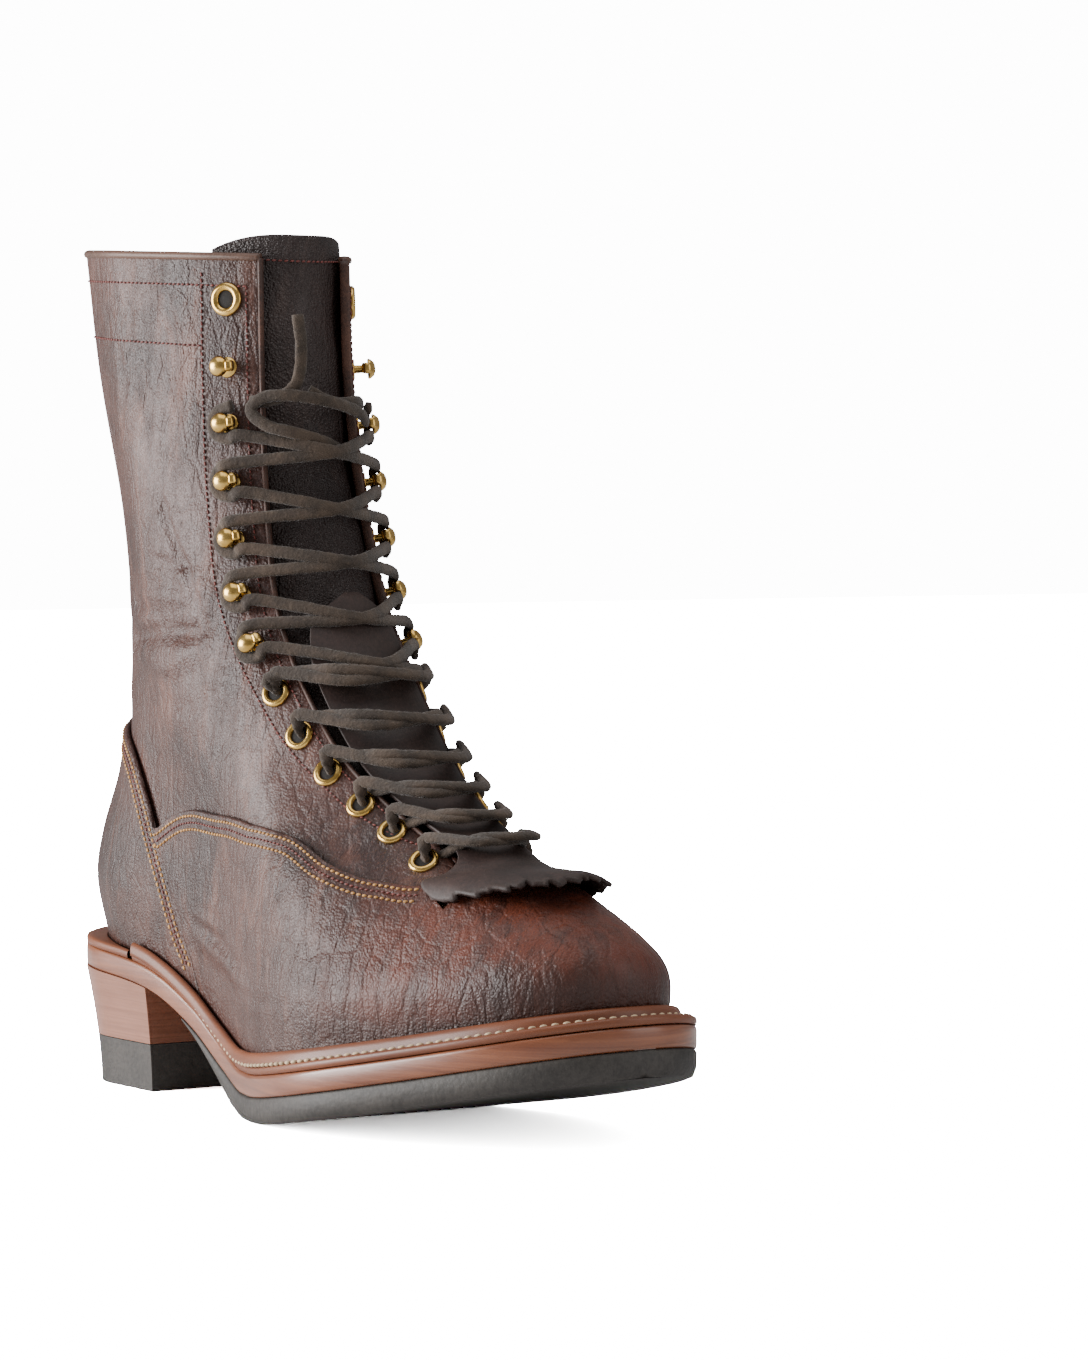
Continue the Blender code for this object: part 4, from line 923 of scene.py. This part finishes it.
brass = Finish("brass", 0.22, 1.0)
shade = brass.noise(300.0, 3.0, 0.6)
brass.paint("Base Color", brass.mix(shade.above(0.3, 0.7), (0.50, 0.30, 0.075), (0.70, 0.46, 0.15)))
brass.paint("Roughness", 0.16 + shade * 0.16)
brass_made = brass.bump(brass.noise(1400.0, 2.0), 0.00006, 0.4)
# Flat dark discs fill the eyelets' holes as painted shade.
hole_shade_finish = plain_finish("hole_shade", (0.006, 0.004, 0.003), (0.012, 0.008, 0.006), 0.8)
rings, holes, hooks = bmesh.new(), bmesh.new(), bmesh.new()
for side in (LATERAL, MEDIAL):
    for i, (_, _, frame) in enumerate(lacing(side)):
        if 1 <= i <= 6:
            turned(hooks, HOOK_WASHER, frame)
            turned(hooks, HOOK_POST, frame, 20)
            turned(hooks, HOOK_CAP, frame @ Matrix.Translation((-0.0006, 0.0, 0.0)))
            curl = []
            for x, z, lean in HOOK_CURL:
                out = (frame.to_3x3() @ Vector((lean, 0.0, 1.0 - lean))).normalized()
                curl.append((frame @ Vector((x, 0.0, z)), out))
            joined(hooks, strap(curl, 0.0036, 0.0009, steps=10))
            for face in hooks.faces:
                face.tag = True
        else:
            turned(rings, ring_profile(*(TOP_RING if i == 0 else RING)), frame)
            turned(holes, HOLE_SHADE_DISC, frame, 20)
for work in (rings, hooks, holes):
    bmesh.ops.recalc_face_normals(work, faces=work.faces)
eyelets = piece("brass_eyelets", rings, brass_made)
piece("eyelet_holes", holes, hole_shade_finish)
hook_piece = piece("brass_hooks", hooks, brass_made)
for word in ("outer", "inner"):
    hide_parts(f"top_eyelet_{word}", *(f"eyelet_{word}_{i}" for i in range(1, 7)))
    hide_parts(*(f"hook_{word}_{i}" for i in range(1, 7)))

# Lace: one strap of oiled rawhide, 4.2 by 2.6 mm, fuzzy on its flesh side. It goes
# straight across the lower eyelets and from hook to hook up the shaft.
rawhide = Finish("rawhide", 0.85, 0.0, Sheen_Weight=0.15, Sheen_Roughness=0.5)
nap = rawhide.noise(700.0, 4.0, 0.7)
patch = rawhide.noise(90.0, 3.0, 0.6)
tone = rawhide.mix(patch.above(0.35, 0.68), (0.0286, 0.0176, 0.011), (0.066, 0.0418, 0.0264))
rawhide.paint("Base Color", rawhide.mix(nap.above(0.55, 0.75) * 0.5, tone, (0.1275, 0.0884, 0.0595)))
rawhide_made = rawhide.bump(nap + patch * 0.4, 0.0006, 1.0)
LACE_WIDE, LACE_THICK = 0.0042, 0.0026


def smooth_line(places, step=0.0011):
    """Even points along a smooth line through a lace's places, each with its way out."""
    marks = tuple(range(len(places)))
    columns = [tuple(spot[i] for spot, _ in places) for i in range(3)]
    outs = [tuple(out[i] for _, out in places) for i in range(3)]
    kept = []
    for i in range(24 * (len(places) - 1) + 1):
        spot = Vector([curve(marks, column, i / 24) for column in columns])
        out = Vector([curve(marks, column, i / 24) for column in outs]).normalized()
        if not kept or (spot - kept[-1][0]).length > step:
            kept.append((spot, out))
    return kept


def lace_piece(name, places, seed):
    line = smooth_line(places)
    work = strap(line, LACE_WIDE, LACE_THICK, rough=0.07, seed=seed, steps=14)
    return piece(name, work, rawhide_made), line


def over(level, turn, height):
    """A place at a height over the boot's front, and the way out there."""
    spot = on_turn(level, turn, height)
    return spot, (on_turn(level, turn, height + 0.01) - spot).normalized()


def hooked(side, i, x, y, z, lean=(0.0, 0.0, 1.0)):
    """A place in millimetres from an eyelet or hook: forward, down and out."""
    frame = lacing(side)[i][2]
    return frame @ Vector((x / 1000, y / 1000, z / 1000)), (frame.to_3x3() @ Vector(lean)).normalized()


LEG_START = (
    (0.3, 0.0, -1.5, (1.0, 0.0, 0.2)), (0.9, -0.5, 1.0, (0.8, -0.2, 0.5)),
    (2.3, -1.8, 2.9, (0.4, -0.2, 0.9)), (5.0, -3.6, 4.4, (0.0, 0.0, 1.0)),
)
LEG_ARCH, TOP_LEG_ARCH, LEG_LIFT, INNER_LEG_LIFT = 0.0058, 0.0075, 0.0016, 0.0015
for number in range(1, 7):
    for side, word in ((LATERAL, "outer"), (MEDIAL, "inner")):
        level, angle, _ = lacing(side)[6 + number]
        start_turn = side * (math.pi - angle)
        far_level = (lacing(-side)[5 + number][0] + level) / 2
        far_turn = -side * (math.pi - edge_angle(round(far_level, 4), -side))
        arch = TOP_LEG_ARCH if number == 6 else LEG_ARCH
        lift = LEG_LIFT + (INNER_LEG_LIFT if side == MEDIAL else 0.0)
        places = [hooked(side, 6 + number, *row) for row in LEG_START]
        for share in (0.35, 0.6, 0.85):
            height = arch * math.sin(math.pi * (0.25 + share * 0.62)) + lift
            turn = start_turn + (far_turn - start_turn) * share
            places.append(over(level + (far_level - level) * share, turn, height))
        places.append(over(far_level, far_turn * 1.25, -UPPER_WALL - 0.0002))
        lace_piece(f"lace_leg_{word}_{number}", places, number * 7 + side)

ZIGZAG_START = ((0.6, -0.2, 0.5, (1.0, 0.0, 0.3)), (2.6, -3.6, 4.2, (0.1, -0.3, 1.0)))
ROUND_HOOK = (
    (7.5, 5.2, 3.4), (1.5, 5.6, 3.2), (-3.4, 3.4, 3.1),
    (-4.6, -0.4, 3.1), (-2.4, -4.2, 3.3), (4.0, -5.4, 4.4),
)
for start_side, word in ((LATERAL, "outer"), (MEDIAL, "inner")):
    side = -start_side
    places = [hooked(start_side, 7, *row) for row in ZIGZAG_START]
    for i in (6, 5, 4, 3, 2):
        level = (lacing(side)[i][0] + lacing(-side)[i + 1][0]) / 2
        places.append(over(level, 0.0, 0.0048 + (0.0006 if side == start_side else 0.0030)))
        places += [hooked(side, i, *row) for row in ROUND_HOOK]
        side = -side
    lace_piece(f"lace_zigzag_{word}", places, 41)
KNOT = (
    (0.795, 0.16, 0.0035), (0.806, -0.06, 0.0050), (0.815, -0.30, 0.0062), (0.822, -0.48, 0.0056),
    (0.838, -0.60, 0.0052), (0.852, -0.50, 0.0056), (0.855, -0.30, 0.0068), (0.848, 0.0, 0.0080),
    (0.838, 0.3, 0.0064), (0.828, 0.48, 0.0052),
)
main_lace, _ = lace_piece("lace_knot", [over(*row) for row in KNOT], 5)
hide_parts("lace_zigzag", *(f"lace_crossing_{i}" for i in range(1, 6)))
OUTER_END = (
    (0.848, 0.62, -0.0009), (0.852, 0.40, 0.0012), (0.870, 0.24, 0.0020),
    (0.905, 0.20, 0.0030), (0.940, 0.22, 0.0020),
)
INNER_END = (
    (0.848, 0.62, -0.0009), (0.850, 0.36, 0.0012), (0.848, 0.15, 0.0012),
    (0.852, -0.02, 0.0020), (0.862, -0.16, 0.0020),
)
for word, side, table in (("outer", LATERAL, OUTER_END), ("inner", MEDIAL, INNER_END)):
    places = [over(level, side * turn, height + 0.0030) for level, turn, height in table]
    made, line = lace_piece(f"cord_{word}", places, 17)
    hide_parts(f"lace_end_{word}")
    path = [tuple(spot) for spot, _ in line]
    length = sum((Vector(b) - Vector(a)).length for a, b in zip(path[:-1], path[1:]))
    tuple(path[0])

# Bottom: welt with its rolled bead, leather midsole and rubber half sole, sewn together,
# trimmed flush and waxed. Each is swept round the sole's edge from a small section.
RUBBER_START, RUBBER_FULL, WELT_END, RAND_FRONT = 0.315, 0.44, 0.20, 0.189


def angle_at(share):
    """Angle of the sole's edge at a share of its length."""
    return math.acos(1 - 2 * share)


def around(start, end, count=150):
    """Places round the toe: (angle, side) from the outer side to the inner one."""
    steps = [start + (end - start) * i / count for i in range(count + 1)]
    return [(angle, LATERAL) for angle in steps] + [(angle, MEDIAL) for angle in reversed(steps[:-1])]


def swept(places, section, closed=False):
    """Sweep a section's points along places; section(angle, side) gives them in order."""
    sections = [section(angle, side) for angle, side in places]
    columns, rows = len(sections) - (0 if closed else 1), len(sections[0]) - 1
    work = bmesh.new()
    bmesh.ops.create_grid(work, x_segments=columns, y_segments=rows, size=1.0)
    for vert in work.verts:
        i = round((vert.co.x + 1) / 2 * columns) % len(sections)
        vert.co = sections[i][round((vert.co.y + 1) / 2 * rows)]
    bmesh.ops.remove_doubles(work, verts=work.verts, dist=0.00001)
    bmesh.ops.recalc_face_normals(work, faces=work.faces)
    return work


@functools.lru_cache(maxsize=None)
def edge_out(angle, side):
    """The sole's edge and the way out from it, in plan."""
    step = 0.006
    a, b = sole_edge(max(angle - step, 0.0), side), sole_edge(min(angle + step, math.pi), side)
    run = Vector((b[0] - a[0], b[1] - a[1], 0.0))
    if angle <= step or angle >= math.pi - step:
        run = Vector((0.0, float(side), 0.0)) * (1 if angle < 1 else -1)
    out = Vector((run.y, -run.x, 0.0)).normalized()
    if out.y * side < -0.2 or (abs(out.y) <= 0.2 and out.x * (1 if angle > 1.5 else -1) < 0):
        out = -out
    x, y = sole_edge(angle, side)
    return Vector((x, y, 0.0)), out


def layer(profile, height_of, places):
    """A layer flush with the edge. Its profile holds the inset, the share of the
    thickness up, and a little more height; an inset of 0.9 is the middle line."""
    def section(angle, side):
        edge, out = edge_out(angle, side)
        points = []
        for inset, share, extra in profile:
            middle = Vector((edge.x, swing(along_sole(edge.x)), 0.0))
            spot = edge - out * inset if inset < 0.5 else middle
            low, high = height_of(spot.x)
            points.append(Vector((spot.x, spot.y, low + (high - low) * share + extra)))
        return points
    return swept(places, section)


def waxed(name, dark, light, across_lines, roughness=0.30, coat=0.5, lifts=0.0):
    """Waxed edge of stacked or single leather; the lines follow its layers."""
    made = Finish(name, roughness, 0.0, Coat_Roughness=0.2)
    streak = made.noise(40.0, 4.0, 0.6, made.stretched((0.22, 0.22, across_lines)))
    cloud = made.noise(18.0, 3.0)
    fine = made.noise(420.0, 3.0, 0.6, made.stretched((0.18, 0.18, 1.8)))
    tone = made.mix((streak * 0.6 + cloud * 0.4).above(0.24, 0.78), dark, light)
    if lifts:
        layer_height = made.axis("Z") * (1 / lifts)
        seam = layer_height.maths("FRACT", layer_height)
        tone = made.mix((1 - seam.above(0.0, 0.09)) * 0.6, tone, dark)
    made.paint("Base Color", made.mix(fine.above(0.5, 0.8) * 0.35, tone, dark))
    made.paint("Roughness", roughness - 0.05 + cloud * 0.2)
    made.paint("Coat Weight", coat * 0.6 + cloud * coat * 0.6)
    return made.bump(fine * 0.5 + streak * 0.3, 0.00014, 0.7)


def midsole_span(x):
    top = sole_top(x) - WELT_THICK
    return top - MIDSOLE_THICK, top


def rubber_span(x):
    """The half sole is skived to nothing behind the ball."""
    share = clipped((x - sole_x(RUBBER_START)) / (sole_x(RUBBER_FULL) - sole_x(RUBBER_START)))
    low, _ = midsole_span(x)
    return low - 0.0008 - (RUBBER_THICK - 0.0008) * share, low


welt_leather = waxed("welt_leather", (0.110, 0.026, 0.0065), (0.205, 0.057, 0.017), 6.0, 0.44, 0.12)
sole_leather = waxed("sole_leather", (0.115, 0.028, 0.0090), (0.300, 0.100, 0.040), 14.0, 0.30, 0.5)
heel_leather = waxed("heel_leather", (0.180, 0.060, 0.030), (0.330, 0.135, 0.078), 16.0, 0.34, 0.4, 0.0062)
rubber = plain_finish(
    "sole_rubber", (0.022, 0.0185, 0.0160), (0.050, 0.0430, 0.0370), 0.62, 40.0, 0.8, 500.0, 0.0003,
)
MID_PROFILE = (
    (0.9, 1.0, -0.0003), (0.004, 1.0, -0.0002), (0.0008, 1.0, -0.0001), (0.0002, 0.93, 0.0),
    (0.0, 0.80, 0.0), (0.0, 0.20, 0.0), (0.0002, 0.06, 0.0), (0.0008, 0.0, 0.0), (0.9, 0.0, 0.0),
)
RUBBER_PROFILE = (
    (0.9, 1.0, -0.0002), (0.0006, 1.0, -0.0002), (0.0, 0.90, 0.0), (0.0001, 0.35, 0.0),
    (0.0012, 0.05, 0.0), (0.0028, 0.0, 0.0), (0.9, 0.0, 0.0),
)
midsole_work = layer(MID_PROFILE, midsole_span, around(0.0, math.pi, 180))
midsole = piece("boot_midsole", midsole_work, sole_leather)
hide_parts("midsole")
rubber_work = layer(RUBBER_PROFILE, rubber_span, around(angle_at(RUBBER_START), math.pi))
half_sole = piece("boot_half_sole", rubber_work, rubber)
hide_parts("outsole")
WELT_EDGE = (
    # inset from the edge, share of the thickness up, a little more height
    (0.0010, 0, 0.0), (0.0002, 0, 0.0003), (0.0, 0, 0.0012),
    (0.0, 1, -0.0010), (0.0003, 1, -0.0003), (0.0011, 1, 0.0),
)
BEAD = ((1.12, -0.05), (1.04, 0.25), (0.90, 0.62), (0.66, 0.92), (0.40, 1.0), (0.12, 0.80), (0.0, 0.45))
BEAD_WIDE, BEAD_HIGH, BEAD_LEVEL = 0.0036, 0.0043, 0.022


def welt_section(angle, side, bead):
    """Section of the welt, or of the heel's rand, which has no rolled bead."""
    edge, out = edge_out(angle, side)
    base = sole_top(edge.x) - WELT_THICK
    foot = on_last(0.0, angle, side, OVERLAY_OUT + 0.0006)
    inner = on_last(0.0, angle, side, -UPPER_WALL)
    foot_top = Vector((foot.x, foot.y, sole_top(foot.x)))
    points = [Vector((inner.x, inner.y, base))]
    for inset, up, extra in WELT_EDGE:
        points.append(edge - out * inset + Vector((0.0, 0.0, base + up * WELT_THICK + extra)))
    if bead:
        groove = edge.lerp(Vector((foot.x, foot.y, 0.0)), 0.42)
        points.append(Vector((groove.x, groove.y, sole_top(groove.x) - 0.0003)))
        for share, height in BEAD:
            bead_out = OVERLAY_OUT + 0.0004 + share * BEAD_WIDE
            spot = on_last(BEAD_LEVEL * height, angle, side, bead_out)
            points.append(Vector((spot.x, spot.y, foot_top.z + height * BEAD_HIGH)))
    else:
        edge_top = points[-1]
        points += [foot_top.lerp(edge_top, share) for share in (0.7, 0.5, 0.35, 0.25, 0.15, 0.1, 0.05, 0.0)]
    points.append(foot_top - Vector((0.0, 0.0, 0.0002)))
    points.append(Vector((inner.x, inner.y, sole_top(inner.x) - 0.0002)))
    return points


welt_places = around(angle_at(WELT_END), math.pi, 170)
welt_work = swept(welt_places, lambda angle, side: welt_section(angle, side, True))
welt = piece("boot_welt", welt_work, welt_leather)
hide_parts("welt")
rand_steps = [angle_at(RAND_FRONT) * i / 70 for i in range(71)]
rand_places = [(angle, LATERAL) for angle in rand_steps[::-1]] + [(angle, MEDIAL) for angle in rand_steps[1:]]
rand_work = swept(rand_places, lambda angle, side: welt_section(angle, side, False))
rand = piece("boot_heel_rand", rand_work, welt_leather)
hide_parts("heel_rand")
welt_row = []
for angle, side in around(angle_at(WELT_END) + 0.01, math.pi, 300):
    foot = on_last(0.0, angle, side, OVERLAY_OUT + 0.0050)
    spot = edge_out(angle, side)[0].lerp(Vector((foot.x, foot.y, 0.0)), 0.55)
    welt_row.append((Vector((spot.x, spot.y, sole_top(spot.x) + 0.0003)), Vector((0.0, 0.0, 1.0))))
stitched("welt_stitches", [welt_row], cream, 0.0037, 0.0029, 0.0013)

# Heel: stacked leather lifts, nailed and trimmed under-slung and slightly waisted, on a
# rubber lift. Its outline runs straight down from the sole's edge to the lift.
BREAST_X, LIFT_BACK_X, LIFT_LENGTH, LIFT_WIDTH = 0.0305, -0.031, 0.062, 0.071
LIFT_TOP, HEEL_BOTTOM, HEEL_WAIST = 0.0165, 0.0168, 1.6


def heel_outline(share, level):
    """Plan of the heel at a height; share runs from the back to the breast."""
    seat = angle_at(along_sole(BREAST_X))
    out_x, out_y = sole_edge(seat * share, LATERAL)
    in_y = sole_edge(seat * share, MEDIAL)[1]
    low = LIFT_BACK_X + (out_x + HEEL_SETBACK) / (BREAST_X + HEEL_SETBACK) * LIFT_LENGTH
    mix = clipped(level) ** HEEL_WAIST
    slim = LIFT_WIDTH / SEAT_WIDTH
    slim += (1 - slim) * mix
    return low + (out_x - low) * mix, out_y * slim, in_y * slim


def heel_body(low, high_of, name, finish):
    """Part of the heel between two heights; high_of(x) gives the upper one."""
    columns = [(i / 60, LATERAL) for i in range(60, -1, -1)] + [(i / 60, MEDIAL) for i in range(1, 61)]

    def section(share, side):
        points = []
        high = high_of(heel_outline(share, 1.0)[0])
        for i in range(25):
            z = low + (high - low) * i / 24
            x, out_y, in_y = heel_outline(share, z / midsole_span(0.0)[0])
            points.append(Vector((x, out_y if side == LATERAL else in_y, z)))
        bottom, top = points[0], points[-1]
        return [Vector((bottom.x, 0.0, bottom.z)), *points, Vector((top.x, 0.0, top.z))]

    return piece(name, swept(columns, section, True), finish, smooth=False)


heel = heel_body(
    HEEL_BOTTOM, lambda x: midsole_span(x)[0] - 0.0002, "boot_heel", heel_leather,
)
lift = heel_body(0.0, lambda x: LIFT_TOP, "boot_heel_lift", rubber)
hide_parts("heel")
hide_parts("heel_lift")


for insole_slot in bpy.data.objects["insole"].material_slots:
    insole_slot.material = cut_edge

# Floor and light: a white sweep under the boot and large soft lights, the strongest
# from the left of the camera, as in a plain studio. The camera sees the paper and the
# world brighter than they light the boot, so that the ground stays white.
SKY_LIGHT, SKY_SEEN, FLOOR_LIT, FLOOR_SEEN = 0.33, 14.0, 0.80, 90.0
world = bpy.data.worlds.new("studio")
bpy.context.scene.world = world
world.use_nodes = True
sky = world.node_tree.nodes["Background"]
sky_rays = world.node_tree.nodes.new("ShaderNodeLightPath")
glow = world.node_tree.nodes.new("ShaderNodeMapRange")
glow.inputs[3].default_value = SKY_LIGHT
glow.inputs[4].default_value = SKY_SEEN
world.node_tree.links.new(sky_rays.outputs["Is Camera Ray"], glow.inputs[0])
world.node_tree.links.new(glow.outputs[0], sky.inputs[1])
sky.inputs[0].default_value = (1.0, 1.0, 1.0, 1.0)
ground = bmesh.new()
bmesh.ops.create_grid(ground, x_segments=1, y_segments=1, size=6.0)
floor_mesh = bpy.data.meshes.new("floor")
ground.to_mesh(floor_mesh)
ground.free()
floor = bpy.data.objects.new("floor", floor_mesh)
bpy.context.scene.collection.objects.link(floor)
paper = bpy.data.materials.new("white_paper")
paper.use_nodes = True
shaders = paper.node_tree.nodes
shaders.remove(shaders["Principled BSDF"])
either = shaders.new("ShaderNodeMixShader")
paper_rays = shaders.new("ShaderNodeLightPath")
paper.node_tree.links.new(paper_rays.outputs["Is Camera Ray"], either.inputs[0])
for socket, brightness in ((1, FLOOR_LIT), (2, FLOOR_SEEN)):
    white = shaders.new("ShaderNodeBsdfDiffuse")
    white.inputs[0].default_value = (brightness, brightness, brightness, 1.0)
    paper.node_tree.links.new(white.outputs[0], either.inputs[socket])
paper.node_tree.links.new(either.outputs[0], shaders["Material Output"].inputs[0])
floor_mesh.materials.append(paper)


def soft_light(name, place, aim, size, power):
    """A rectangular light at a place, turned to its aim."""
    lamp = bpy.data.lights.new(name, "AREA")
    lamp.shape = "RECTANGLE"
    lamp.size, lamp.size_y = size
    lamp.energy = power
    made = bpy.data.objects.new(name, lamp)
    facing = (Vector(place) - Vector(aim)).to_track_quat("Z", "Y").to_matrix().to_4x4()
    made.matrix_world = Matrix.Translation(place) @ facing
    bpy.context.scene.collection.objects.link(made)


left = view_right * -1.1 + view_back * 0.12 + Vector((0.0, 0.0, 0.27))
soft_light("left_light", left, (0.0, 0.0, 0.06), (0.9, 0.7), 36.0)
soft_light("top_light", (0.2, -0.1, 1.3), (0.08, 0.0, 0.1), (1.2, 1.2), 9.0)
right = view_right * 1.2 + view_back * 0.6 + Vector((0.0, 0.0, 0.5))
soft_light("right_light", right, (0.1, 0.0, 0.08), (0.6, 1.0), 3.5)
